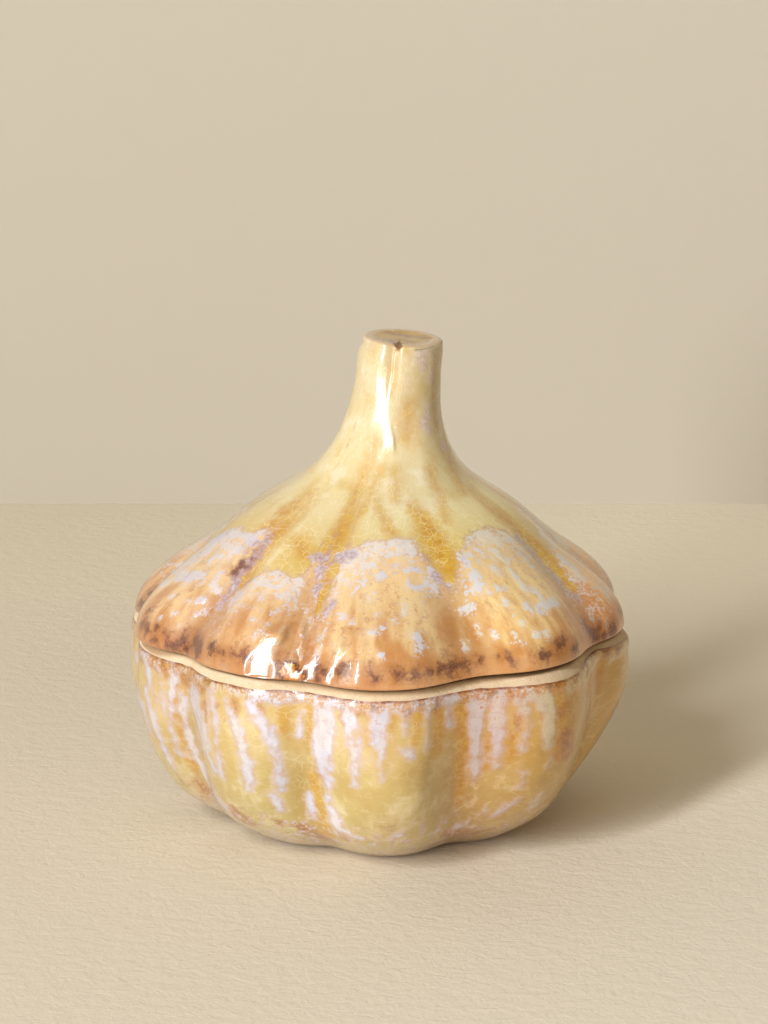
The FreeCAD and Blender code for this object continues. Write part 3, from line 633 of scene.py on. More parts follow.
# ribs of the skin: (half width mm, height mm, ((phi, mm along), ...))
BOWL_RIBS = [
    (1.6, 0.22, ((-33.0, 4.0), (-32.0, 20.0), (-29.5, 34.0))),
    (1.5, 0.25, ((66.5, 3.0), (66.0, 16.0), (62.0, 34.0))),
    (1.8, 0.18, ((-13.5, 3.0), (-13.0, 18.0), (-11.5, 30.0))),
    (1.8, 0.16, ((10.5, 3.0), (10.0, 18.0), (8.0, 32.0))),
    (1.6, -0.2, ((-20.6, 1.5), (-20.2, 14.0))),
    (1.6, -0.2, ((-15.6, 1.5), (-15.4, 14.0))),
]
LID_RIBS = [
    (1.5, 0.22, ((-19.6, 4.0), (-20.2, 14.0))),
    (1.2, 0.22, ((-4.4, 2.0), (-4.2, 12.0))),
    (1.6, 0.32, ((-19.0, 63.0), (-20.0, 68.0), (-23.0, 74.0))),
]
# flats: (((mm along, phi), ...), half width and softness in degrees, from, to mm along, strength, the way it faces, then where its
# lean is given, that lean, and how it turns, degrees a millimetre)
LID_FLATS = [
    (((84.0, -6.5), (92.0, -4.5), (97.0, -4.0)), 4.2, 2.0, 84.0, 97.0, 0.85, -6.0, 90.0, 14.0, 0.0),
    (((66.0, -4.0), (71.6, -4.0), (73.7, -5.0), (77.7, -11.0), (83.8, -20.0), (90.0, -25.0)), 6.5, 1.5, 72.0, 89.0, 1.0, -16.8, 78.0, 14.0, 0.0),
    (((2.0, -28.4), (6.7, -27.6), (13.0, -26.8)), 2.6, 0.9, 1.5, 12.0, 0.9, -17.0, 6.5, 19.0, 2.2),
    (((2.0, -10.6), (6.0, -9.8), (12.0, -8.8)), 0.9, 0.6, 2.0, 11.0, 1.0, -17.0, 6.5, 19.0, 2.4),
    (((2.0, -15.6), (6.0, -15.0), (12.0, -14.0)), 1.5, 1.5, 2.0, 10.0, 0.8, -17.0, 6.5, 19.0, 2.4),
    (((4.0, -19.3), (12.0, -20.2)), 0.45, 0.5, 5.0, 13.0, 0.9, -17.0, 8.0, 20.0, 2.0),
]

N, NH = 600, 300
PHI, PHIH = columns(N), columns(NH)
wrapd = lambda d: np.mod(d + 180, 360) - 180


# ------------------------------------------------------------------ the unseen side: the same kinds of runs and flecks, seeded
def unseen_bowl():
    rng = np.random.default_rng(41)
    white, amber, rust = [], [], []
    phi = 82.0
    while phi < 268.0:
        top, ln = rng.uniform(0.3, 2.0), rng.choice([6, 9, 13, 17, 20, 23]) * rng.uniform(0.8, 1.15)
        w = rng.uniform(1.0, 2.0) * (0.75 + ln / 40)
        lean_ = rng.uniform(-1.5, 1.5)
        pts = [(phi, top, w * 1.25), (phi + lean_ * 0.3, top + ln * 0.45, w), (phi + lean_, top + ln * 0.85, w * rng.uniform(0.7, 1.05)),
               (phi + lean_, top + ln, w * 0.55)]
        white.append(tuple(pts))
        if rng.random() < 0.35:
            q = top + ln + rng.uniform(2, 6)
            white.append(((phi + lean_, q, 0.7), (phi + lean_ * 1.3, q + rng.uniform(1, 4), 0.9)))
        if rng.random() < 0.6:
            rust.append(((phi + rng.uniform(-0.5, 0.5), rng.uniform(2, 10), rng.uniform(0.6, 1.2)),))
        gap = rng.uniform(3.6, 7.5)
        if gap > 5.4:
            amber.append(((phi + gap / 2, 1.2, 1.6), (phi + gap / 2 + lean_, rng.uniform(8, 18), 1.0)))
        phi += gap
    for _ in range(46):
        p = rng.uniform(84, 268)
        s0 = rng.uniform(44, 57)
        white.append(((p, s0, rng.uniform(0.5, 1.2)), (p + rng.uniform(-1.5, 1.5), s0 + rng.uniform(0, 2.5), rng.uniform(0.5, 1.0))))
    for _ in range(16):
        p = rng.uniform(84, 268)
        rust.append(((p, rng.uniform(52, 60), rng.uniform(1.0, 2.4)), (p + rng.uniform(2, 6), rng.uniform(53, 60), rng.uniform(0.8, 1.8))))
    for v in (166.0, 203.45, 120.98, 246.94):
        rust.append(((v, rng.uniform(46, 50), 1.6), (v + 1, 54, 1.3)))
        amber.append(((v, 1.4, 2.6), (v, 12, 2.2), (v - 0.5, 26, 1.4)))
    return white, amber, rust


def unseen_lid():
    rng = np.random.default_rng(77)
    white, lav, brown, tan, amber = [], [], [], [], []
    for v, nxt in ((91.47, 120.98), (120.98, 166.0), (166.0, 203.45), (203.45, 246.94), (246.94, 277.2)):
        amber.append(((v - 1.5, 60, 1.2), (v - 0.5, 46, 2.4), (v, 34, 2.2), (v + 0.4, 24, 1.3)))
        lav.append(((v + 3.0, 40, 1.4), (v + 2.4, 33, 1.2), (v + 1.4, 25, 0.9)))
        for _ in range(11):
            p = rng.uniform(v + 3, nxt - 3)
            s0 = rng.uniform(24, 40)
            r = rng.uniform(0.7, 1.9)
            white.append(((p, s0, r), (p + rng.uniform(-3, 3), s0 - rng.uniform(0.5, 4), r * rng.uniform(0.6, 1.1)), ))
        for _ in range(12):
            white.append(((rng.uniform(v + 2, nxt - 2), rng.uniform(8, 28), rng.uniform(0.45, 0.95)),))
        for _ in range(5):
            tan.append(((rng.uniform(v + 2, nxt - 2), rng.uniform(8, 34), rng.uniform(0.8, 1.8)),))
    for _ in range(34):
        p = rng.uniform(84, 282)
        s0 = rng.uniform(1.5, 5.5)
        brown.append(((p, s0, rng.uniform(0.8, 1.7)), (p + rng.uniform(-2, 2), s0 + rng.uniform(-1, 1.6), rng.uniform(0.7, 1.4))))
    return white, lav, brown, tan, amber


# how far the second glaze reaches up each lobe: (phi, millimetres above the edge)
REACH = [(-95, 27), (-86, 26), (-81.5, 25), (-78, 31), (-74, 35), (-70, 37.4), (-60, 38.7), (-54.6, 41), (-51.8, 40.4), (-50.4, 34),
         (-49.6, 22), (-49.2, 13.1), (-48.4, 18), (-43.6, 25.3), (-39.4, 29.2), (-34.8, 30.8), (-28.6, 28.8), (-25.6, 30), (-24.4, 36),
         (-22, 36.5), (-20.6, 30), (-19.4, 24), (-18.2, 15.6), (-17, 18), (-15.6, 24), (-14.6, 30), (-13.6, 37), (-12.4, 39.3),
         (-5.6, 42), (6, 43.1), (11.4, 42.4), (14.2, 39.3), (17.4, 34.9), (20.4, 30.8), (23.6, 26), (25.6, 26.6), (27, 30), (29, 34.9),
         (32.8, 38.3), (37.2, 41.3), (45, 42.4), (52.2, 41.7), (57.4, 39), (61.6, 34.9), (63.6, 26), (65, 14), (66, 9.5), (68, 14),
         (70.4, 20), (74, 26), (80, 33), (86, 34), (90, 27), (92.5, 17), (95, 26), (101, 38), (108, 40), (115, 36), (119.5, 24), (121.5, 15),
         (124.5, 28), (132, 38), (144, 42), (155, 39), (162, 28), (165, 17), (168.5, 29), (176, 38), (186, 41), (196, 35), (202, 20),
         (205, 22), (212, 36), (225, 40), (238, 36), (244.5, 24), (247, 14), (250, 27), (258, 34), (265, 27)]


def reach(phi):
    p = np.mod(phi + 95, 360) - 95
    x, y = np.array([a for a, _ in REACH], float), np.array([b for _, b in REACH], float)
    x, y = np.append(x, 265.001), np.append(y, 27)
    return np.interp(p, x, y)


# ------------------------------------------------------------------ ribs: (phi, mm along, half width, height) lines; heights may be negative
def ridge(phi, s, k, lines):
    out = np.zeros(phi.shape)
    for width, height, line in lines:
        pts = [(p, q, 0.0) for p, q in line]
        d = -strokes(phi, s, k, [pts], far=-4 * width)
        out += height * np.exp(-(d / width) ** 2)
    return out


def grain(phi, s, seed, k=1.0):
    return 0.10 * waves(seed, phi, s, 18, 16.0, 2) * k + 0.028 * waves(seed + 5, phi, s, 70, 5.0, 2) * k


def facets(r, phi, s, spec, at):
    """flattens the skin where a thumb or tool left a flat: the row's radius goes towards a straight chord facing alpha, whose own
    radius follows an arc: it leans back by lean0 degrees at ref and turns by rate degrees a millimetre; at(s) gives a whole row"""
    for track, half, soft, lo, hi, strength, alpha, ref, lean0, rate in spec:
        if not lo - 3 < s < hi + 3:
            continue
        where = lambda q: int(round((float(np.interp(q, [t[0] for t in track], [t[1] for t in track])) + 180) / 360 * len(phi))) % len(phi)
        j, jr = where(s), where(ref)
        k = math.radians(rate)
        if k:
            turn = lambda q: -math.cos(math.radians(lean0) + k * (q - ref)) / k
            r0 = at(ref)[jr] * math.cos(math.radians(phi[jr] - alpha)) - (turn(s) - turn(ref))
        else:
            e = int(half / 360 * len(phi))
            r0 = max(float(r[q % len(phi)]) * math.cos(math.radians(float(phi[q % len(phi)]) - alpha)) for q in (j - e, j + e)) - 0.02
        near = np.abs(wrapd(phi - phi[j])) < half + soft + 1
        w = strength * ease(half + soft, half - soft * 0.4, np.abs(wrapd(phi - phi[j]))) * ease(lo - 3, lo, s) * ease(hi + 3, hi, s)
        a = np.radians(phi - alpha)
        target = np.where(near, r0 / np.cos(np.where(near, a, 0)), r)
        r = r + w * (target - r)
    return r


# ------------------------------------------------------------------ bowl
def make_bowl():
    white2, amber2, rust2 = unseen_bowl()
    s_all = np.concatenate([np.arange(float(bowl_s(0.0)), 6.0, -0.64), np.linspace(6.0, 0.0, 15)])
    z_all = bowl_z(s_all)
    z_all[0] = 0.0
    rows, S, V = [], [], []
    ph2 = PHI
    for s, z in zip(s_all, z_all):
        r, v = bowl_radius(ph2, z)
        rows.append(place(r, z, ph2))
        S.append(np.full(N, s))
        V.append(v)
    r_low, v_rim = bowl_radius(ph2, 50.7)
    rim, _ = bowl_radius(ph2, RIM_Z)
    for t in np.linspace(0, 1, 8)[1:]:
        rows.append(place(r_low + (rim - 1.5 - r_low) * t, 50.7 + 1.9 * t, ph2))
        S.append(np.full(N, -2.42 * t))
        V.append(v_rim)
    for t in (0.08, 0.3, 0.6, 0.92, 1.0):
        rows.append(place(rim - 1.5 - 4.1 * t, 52.6, ph2))
        S.append(np.full(N, -2.42 - 4.1 * t))
        V.append(v_rim)
    for t in (0.5, 1.0):
        rows.append(place(rim - 5.6 - 0.6 * t, 52.6 - 0.6 * t, ph2))
        S.append(np.full(N, -6.52 - 0.85 * t))
        V.append(v_rim)
    P, S, V = np.array(rows), np.array(S), np.array(V)
    n_side = len(s_all)
    mask = np.zeros(len(P))
    mask[n_side + 5:n_side + 9] = 0.9
    mask[n_side + 11:n_side + 13] = 0.6
    mask[1:3] = 0.6
    P = smooth_rows(P, mask, 3)
    nm = normals_of(P)
    if (nm[n_side // 2, :, :2] * P[n_side // 2, :, :2]).sum() < 0:
        nm = -nm
    PH = np.broadcast_to(PHI, S.shape)
    R = np.hypot(P[..., 0], P[..., 1])
    K = np.maximum(R, 5) * math.pi / 180
    line = 0.10 - 0.7 * np.exp(-((PH - 64) / 9.0) ** 2) + 0.4 * np.exp(-((PH - 47) / 6.0) ** 2) + 0.26 * waves(3, PH, 0 * S, 90, 5, 2, 0.7) + 0.22 * waves(4, PH, 0 * S, 14, 5)
    low = float(bowl_s(0.0)) - 0.9 + 0.5 * waves(8, PH, 0 * S, 22, 5, 2)
    gd = np.minimum(S - line, low - S)
    W = strokes(PH, S, K, BOWL_WHITE + white2)
    A = strokes(PH, S, K, BOWL_AMBER + amber2)
    O = strokes(PH, S, K, BOWL_RUST + rust2)
    side = (S > -2.6)
    h = 0.22 * ease(0, 0.45, gd) * side + 0.34 * np.exp(-((gd - 1.65) / 1.40) ** 2) * (gd > -0.2) * (S < 8) * ease(-0.2, 0.5, gd)
    body = ease(0.5, 4, S) * ease(0, 6, low - S)
    h = h + 0.10 * ease(-0.5, 0.7, W) * body + grain(PH, S, 11) * body
    h = h + ridge(PH, S, K, BOWL_RIBS) * body
    h = h + 0.035 * waves(12, PH, S, 120, 9, 2) * body + 0.05 * waves(21, PH, 0 * S, 60, 5, 2) * (gd <= 0) * side
    P = P + nm * h[..., None]
    P[..., 2] = np.maximum(P[..., 2], 0.0)
    P[..., 2] = np.minimum(P[..., 2], 52.62)
    flow = np.stack([60 * np.sin(np.radians(PH)), 60 * np.cos(np.radians(PH)), S], -1)
    g = Rings()
    # underside, from the middle of the recess out to the foot
    v0 = 0.0
    phh = PHIH
    def foot(r, z, n, v, clay):
        p = PHIH if n == NH else PHI
        g.add(place(np.full(n, r), z, p), v, gd=np.full(n, clay), flow=np.stack([r * np.sin(np.radians(p)), r * np.cos(np.radians(p)), 0 * p + 90], -1),
              zone=np.full(n, 1.0))
    g.add(place(np.zeros(1), 1.8, np.zeros(1)), 0.004, gd=2.0, zone=1.0)
    for i, r in enumerate((2, 5, 9, 13, 17, 21, 24, 25.1)):
        foot(r, 1.8, NH, 0.01 + 0.006 * i, 2.0)
    foot(25.5, 1.72, NH, 0.06, 1.0)
    foot(26.3, 0.9, NH, 0.066, 0.5)
    foot(26.95, 0.12, NH, 0.072, -0.3)
    foot(27.2, 0.0, NH, 0.075, -1.0)
    edge0 = np.hypot(P[0, ::2, 0] - CENTRE_X, P[0, ::2, 1] - CENTRE_Y)
    for i, t in enumerate((0.25, 0.5, 0.75, 0.93)):
        g.add(place(27.2 + (edge0 - 27.2) * t, 0.0, PHIH), 0.08 + 0.012 * i, gd=np.full(NH, -1.0), zone=np.full(NH, 1.0),
              flow=flow[0, ::2])
    n_rows = len(P)
    # painted shade: how far the rim's clay lies in under the lid's edge, used to darken that clay as the shadow in the
    # gap between lid and bowl
    lid_edge = lid_radius(PHI, 53.0)[0] + overhang(PHI, 53.0) - 0.75
    for i in range(n_rows):
        v = 0.13 + 0.50 * i / (n_rows - 1)
        inside = S[i, 0] < -2.5
        g.add(P[i], v, gd=np.where(S[i] < -2.5, -2.0, gd[i]), W=W[i], A=A[i], O=O[i], val=V[i], flow=flow[i], zone=np.full(N, 0.0),
              gap_shade=np.where(S[i] < 0, lid_edge - np.hypot(P[i, :, 0] - CENTRE_X, P[i, :, 1] - CENTRE_Y), -5.0),
              low=low[i] - S[i])
    # inside wall and floor
    ring = []
    for z, ins in ((52.0, 6.2), (51.2, 6.25), (49.5, 5.75), (46.0, 5.15)):
        ring.append(place(bowl_radius(PHIH, z if z < 50 else RIM_Z)[0] - (ins if z < 50 else 6.2 + (52.0 - z) * 0.05), z, PHIH))
    for z in (42.0, 37.0, 32.0, 27.0, 22.5, 18.0, 14.0, 10.5, 7.5, 5.2, 3.6):
        e = 0.05
        sl = (bowl_crest(z + e) - bowl_crest(z - e)) / (2 * e)
        q = math.hypot(1, sl)
        r, hz = float(bowl_crest(z) - 4.6 / q), float(z + 4.6 * sl / q)
        if hz < 6.4:
            continue
        ring.append(place(r + 0.85 * (bowl_radius(PHIH, z)[0] - bowl_crest(z)), hz, PHIH))
    ring.append(place(36.7 + 0.45 * (bowl_radius(PHIH, 2.0)[0] - bowl_crest(2.0)), 6.08, PHIH))
    ring.append(place(np.full(NH, 34.5), 5.9, PHIH))
    ring = np.array(ring)
    step = np.concatenate([[0], np.cumsum(np.linalg.norm(np.diff(ring, axis=0), axis=-1).mean(1))])
    q = np.linspace(0, step[-1], 46)[1:]
    inner = loft(step, ring, q)
    for i, r in enumerate(inner):
        si = 100 + q[i]
        fl = np.stack([60 * np.sin(np.radians(PHIH)), 60 * np.cos(np.radians(PHIH)), np.full(NH, si)], -1)
        gi = q[i] - 3.4 + 0.5 * waves(31, PHIH, 0 * PHIH, 40, 5, 2)
        r = r + 0.0
        g.add(r, 0.66 + 0.22 * q[i] / step[-1], gd=gi, flow=fl, zone=np.full(NH, 2.0), W=np.full(NH, -4.0))
    for i, rr in enumerate((31, 27, 22.5, 18, 13.5, 9, 5, 2)):
        g.add(place(np.full(NH, float(rr)), 5.9 - 0.25 * (1 - (rr / 34.5) ** 2), PHIH), 0.885 + 0.012 * i, gd=np.full(NH, 9.0), zone=np.full(NH, 2.0),
              flow=np.stack([rr * np.sin(np.radians(PHIH)), rr * np.cos(np.radians(PHIH)), 0 * PHIH + 170], -1))
    g.add(place(np.zeros(1), 5.65, np.zeros(1)), 0.99, gd=9.0, zone=2.0)
    return g.build("bowl_glazed", dict(gd=9.0, W=-4.0, A=-4.0, O=-4.0, val=0.0, zone=0.0, low=20.0, gap_shade=-5.0, flow=(0.0, 0.0, 0.0)))


def loft(x, rings, q):
    """natural cubic through whole rings"""
    n, h = len(x), np.diff(x)
    m = np.eye(n)
    y = rings.reshape(n, -1)
    r = np.zeros_like(y)
    for i in range(1, n - 1):
        m[i, i - 1:i + 2] = h[i - 1], 2 * (h[i - 1] + h[i]), h[i]
        r[i] = 6 * ((y[i + 1] - y[i]) / h[i] - (y[i] - y[i - 1]) / h[i - 1])
    s = np.linalg.solve(m, r)
    i = np.clip(np.searchsorted(x, q, side="left") - 1, 0, n - 2)
    u, v, hh = (q - x[i])[:, None], (x[i + 1] - q)[:, None], h[i][:, None]
    out = (s[i] * v ** 3 + s[i + 1] * u ** 3) / (6 * hh) + (y[i] / hh - s[i] * hh / 6) * v + (y[i + 1] / hh - s[i + 1] * hh / 6) * u
    return out.reshape(len(q), *rings.shape[1:])


# ------------------------------------------------------------------ lid
def overhang(phi, z):
    return 0.8 * np.exp(-(wrapd(phi + 93) / 15.0) ** 2) * max(0.0, 1 - (z - 53) / 9.0)


def make_lid():
    white2, lav2, brown2, tan2, amber2 = unseen_lid()
    total = float(lid_s(TOP_Z - 1.2))
    s_split = float(lid_s(84.5))
    s_low = np.concatenate([np.linspace(float(lid_s(53.7)), 5.0, 9), np.arange(5.62, s_split, 0.66)])
    s_low = np.append(s_low[s_low < s_split - 0.3], s_split)
    s_up = np.linspace(s_split, total, 74)[1:]

    def grid(ph, svals):
        rows, vs = [], []
        for s in svals:
            z = float(lid_z(s))
            r, v = lid_radius(ph, z)
            r = facets(r, ph, s, LID_FLATS, lambda q: lid_radius(ph, float(lid_z(q)))[0])
            r = r + overhang(ph, z)
            r = r - (0.45 + 0.85 * np.maximum(0, -np.sin(np.radians(ph)))) * max(0.0, (z - TOP_Z + 4.4) / 3.2) ** 2
            rows.append(place(r, z + warp(ph) * max(0.0, 1 - (z - 53) / 9.0) * 0.8, ph, float(lean(z))))
            vs.append(v)
        return np.array(rows), np.array(vs)

    def dress(P, PH, S, V, s_row):
        nm = normals_of(P)
        k = len(P) // 2
        if (nm[k, :, :2] * (P[k, :, :2] - P[k, :, :2].mean(0))).sum() < 0:
            nm = -nm
        c = P.mean(1, keepdims=True)
        R = np.hypot(P[..., 0] - c[..., 0], P[..., 1] - c[..., 1])
        K = np.maximum(R, 3) * math.pi / 180
        f = dict(W=strokes(PH, S, K, LID_WHITE + white2), L=strokes(PH, S, K, LID_LAV + lav2), B=strokes(PH, S, K, LID_BROWN + brown2),
                 T=strokes(PH, S, K, LID_TAN + tan2), A=strokes(PH, S, K, LID_AMBER + amber2), val=V)
        e = 0.3
        slope = (reach(PH + e) - reach(PH - e)) / (2 * e) / K
        f["ov"] = np.clip((reach(PH) - S) / np.sqrt(1 + slope ** 2), -8, 40)
        h = 0.10 * ease(-0.6, 0.8, f["ov"]) * ease(40, 20, S) + 0.05 * ease(-0.4, 0.6, np.maximum(f["W"], f["L"]))
        h = h + grain(PH, S, 51, np.minimum(1, R / 50)) * ease(0, 5, S) * ease(80, 60, S)
        h = h + ridge(PH, S, K, LID_RIBS)
        # the molten drop on the edge
        drop = [[(-21.6, 2.3, 0.0), (-20.6, 1.8, 0.1), (-19.0, 1.4, -0.2)]]
        d = -strokes(PH, S, K, drop, far=-9)
        d = d + 0.25 * waves(91, PH, S, 150, 2.2, 1)
        h = h + 0.10 * np.exp(-(d / 1.5) ** 2) * (PH > -40) * (PH < 0)
        f["drop"] = 1.45 - d
        # two streaks on the stem made less glossy, so that the light's reflection stays in one piece
        f["dull"] = strokes(PH, S, K, [((-18.6, 64.0, 1.0), (-20.0, 69.0, 1.2), (-21.6, 73.0, 1.35), (-22.0, 76.5, 1.3)), ((-2.0, 97.0, 0.9), (-1.6, 90.0, 1.0), (-2.6, 85.0, 0.9))])
        h = h * ease(-0.5, 2.0, S)
        return P + nm * h[..., None], f

    P1, V1 = grid(PHI, s_low)
    S1 = np.repeat(s_low[:, None], N, 1)
    P2, V2 = grid(PHIH, np.concatenate([[s_low[-1]], s_up]))
    S2 = np.repeat(np.concatenate([[s_low[-1]], s_up])[:, None], NH, 1)
    Q1, f1 = dress(P1, np.broadcast_to(PHI, S1.shape), S1, V1, s_low)
    Q2, f2 = dress(P2, np.broadcast_to(PHIH, S2.shape), S2, V2, s_up)
    # both dressings meet at the same ring
    Q2[0] = Q1[-1, ::2]
    g = Rings()
    z3 = lambda n: np.full(n, 3.0)
    # inside: up in the stem's hollow, down the dome, the locating lip, the seat
    ring = []
    for z in (112.5, 108.0, 103.0, 98.5, 94.5, 91.0, 88.0, 85.0, 82.0, 79.0, 76.0, 73.0, 70.0, 67.0, 64.2):
        e = 0.05
        sl = (lid_crest(z + e) - lid_crest(z - e)) / (2 * e)
        q = math.hypot(1, sl)
        r, hz = float(lid_crest(z) - 4.6 / q), float(z + 4.6 * sl / q)
        ring.append(place(r + 0.8 * (lid_radius(PHIH, z)[0] - lid_crest(z)), hz, PHIH, float(lean(hz))))
    rimh = bowl_radius(PHIH, RIM_Z)[0]
    lip = rimh - 6.2 - 1.2
    for ins, z in ((3.2, 56.4), (3.7, 53.6), (4.25, 50.5), (4.2, 48.0)):
        ring.append(place(lip - ins, z, PHIH))
    ring = np.array([place(np.full(NH, 3.6), 116.1, PHIH, float(lean(116.1))), place(np.full(NH, 5.4), 115.2, PHIH, float(lean(115.2)))] + list(ring))
    step = np.concatenate([[0], np.cumsum(np.linalg.norm(np.diff(ring, axis=0), axis=-1).mean(1))])
    q = np.linspace(0, step[-1], 58)
    inner = loft(step, ring, q)
    g.add(place(np.zeros(1), 116.1, np.zeros(1), float(lean(116.1))), 0.004, gd=3.0, zone=2.0)
    for i, r in enumerate(inner):
        fl = np.stack([60 * np.sin(np.radians(PHIH)), 60 * np.cos(np.radians(PHIH)), np.full(NH, 200 + q[i])], -1)
        g.add(r, 0.01 + 0.20 * q[i] / step[-1], gd=(step[-1] - q[i]) - 5.0 + 0.5 * waves(61, PHIH, 0 * PHIH, 40, 5, 2), zone=np.full(NH, 2.0), flow=fl)
    seq = [(3.6 - 0.05, 47.45), (2.6, 47.4), (1.3, 47.4), (0.75, 47.75), (0.6, 48.0)]
    seq = [(3.95, 47.62), (3.4, 47.4), (2.3, 47.4), (1.5, 47.43), (0.95, 47.62), (0.62, 48.1), (0.4, 49.8), (0.2, 51.2), (0.04, 52.4)]
    for i, (ins, z) in enumerate(seq):
        g.add(place(lip - ins, z, PHIH), 0.215 + 0.006 * i, gd=np.full(NH, -1.0), zone=np.full(NH, 1.0), flow=np.stack([60 * np.sin(np.radians(PHIH)), 60 * np.cos(np.radians(PHIH)), np.full(NH, 180.0 - z)], -1))
    edge_h = lid_radius(PHIH, 53.0)[0] + overhang(PHIH, 53.0)
    # painted shade: the seat's clay is marked to be darkened as the shadow in the gap over the bowl's rim
    for i, (t, z) in enumerate(((0.02, 52.7), (0.25, 52.7), (0.42, 52.72), (0.62, 53.15))):
        g.add(place(lip + (edge_h - 1.2 - lip) * t, z + (0.27 * np.exp(-((PHIH - 25) / 35.0) ** 2) if i == 3 else 0.0), PHIH), 0.272 + 0.004 * i, gd=np.full(NH, -1.0), zone=np.full(NH, 1.0), gap_shade=np.full(NH, 3.0), flow=np.stack([60 * np.sin(np.radians(PHIH)), 60 * np.cos(np.radians(PHIH)), 120 + 0 * PHIH], -1))
    # the lower edge, rounded
    edge = lid_radius(PHI, 53.0)[0] + overhang(PHI, 53.0)
    def outer_row(P, v, gd, f, S, ph):
        n = len(P)
        g.add(P, v, gd=gd, zone=np.zeros(n), flow=np.stack([60 * np.sin(np.radians(ph)), 60 * np.cos(np.radians(ph)), S], -1), **f)
    f0 = {k: f1[k][0] for k in f1}
    w = warp(PHI)
    # painted shade: the first of these rows is marked to be darkened as shadow in the gap
    for i, (ins, z, gdv, s) in enumerate(((1.15, 53.10, -1.0, -1.0), (0.80, 53.14, 0.1, -0.75), (0.50, 53.22, 0.25, -0.5), (0.26, 53.38, 0.45, -0.2), (0.09, 53.56, 0.8, 0.2))):
        lift = w * (0.6 if i == 0 else 0.75 if i == 1 else 0.9) + 0.27 * np.exp(-((PHI - 25) / 35.0) ** 2) * (1.0, 1.0, 0.8, 0.45, 0.1)[i]
        outer_row(place(edge - ins, z + lift, PHI), 0.288 + 0.002 * i, np.full(N, gdv), dict(f0, gap_shade=np.full(N, 1.5 if i == 0 else -5.0)), np.full(N, s), PHI)
    for i in range(len(Q1)):
        outer_row(Q1[i], 0.30 + 0.42 * i / (len(Q1) - 1), S1[i] + 0.5, {k: f1[k][i] for k in f1}, S1[i], PHI)
    for i in range(1, len(Q2)):
        outer_row(Q2[i], 0.72 + 0.22 * i / (len(Q2) - 1), S2[i], {k: f2[k][i] for k in f2}, S2[i], PHIH)
    # the stem's sheared top: a rounded rim, a shallow dish where glaze pooled, a cleft at the front
    rt = lid_radius(PHIH, TOP_Z - 1.2)[0] - (0.45 + 0.85 * np.maximum(0, -np.sin(np.radians(PHIH))))
    xc = float(lean(TOP_Z))
    fT = {k: f2[k][-1] for k in f2}
    cleft = np.exp(-((PHIH + 4) / 5.0) ** 2)
    a = np.radians(PHIH)
    for i, (ins, drop) in enumerate(((0.02, 0.95), (0.10, 0.66), (0.28, 0.36), (0.6, 0.15), (1.05, 0.03), (1.6, 0.0), (2.2, 0.05), (2.9, 0.16), (3.7, 0.28), (4.7, 0.38), (5.8, 0.45), (7.0, 0.49), (8.4, 0.51), (9.6, 0.52))):
        r = np.maximum(rt - ins, 0.25 * (11 - ins))
        x = r * np.sin(a)
        wob = 0.10 * waves(71, PHIH, 0 * PHIH + ins, 7, 6) + 0.05 * waves(72, PHIH, 0 * PHIH + ins, 20, 4)
        z = TOP_Z - drop - 0.07 * x + wob * min(1, ins) - cleft * 0.8 * math.exp(-((ins - 1.0) / 1.6) ** 2)
        fl = np.stack([6 * r / 11 * np.sin(a), 6 * r / 11 * np.cos(a), np.full(NH, 98 + ins)], -1)
        pool = np.full(NH, ins)
        g.add(np.stack([x + xc + CENTRE_X, -r * np.cos(a) + CENTRE_Y, z], -1), 0.942 + 0.0035 * i, gd=z3(NH), zone=np.zeros(NH), flow=fl,
              top=pool, cleft=np.exp(-((PHIH + 2 + 3 * ins) / (6.0 + 3.0 * ins)) ** 2) * ease(8.5, 5.0, ins) * ease(-0.2, 0.4, ins), **fT)
    g.add(np.array([[xc + CENTRE_X, CENTRE_Y, TOP_Z - 0.53]]), 0.994, gd=3.0, top=11.0)
    return g.build("lid_glazed", dict(gd=3.0, W=-4.0, L=-4.0, B=-4.0, T=-4.0, A=-4.0, ov=-8.0, drop=-4.0, gap_shade=-5.0, dull=-4.0, val=0.0, zone=0.0, top=0.0, cleft=0.0, flow=(0.0, 0.0, 0.0)))


# ------------------------------------------------------------------ materials
def col(r, g, b, k=0.86):
    f = lambda c: ((c / 255 + 0.055) / 1.055) ** 2.4 if c > 10 else c / 255 / 12.92
    return (min(1, f(r) * k), min(1, f(g) * k), min(1, f(b) * k), 1.0)


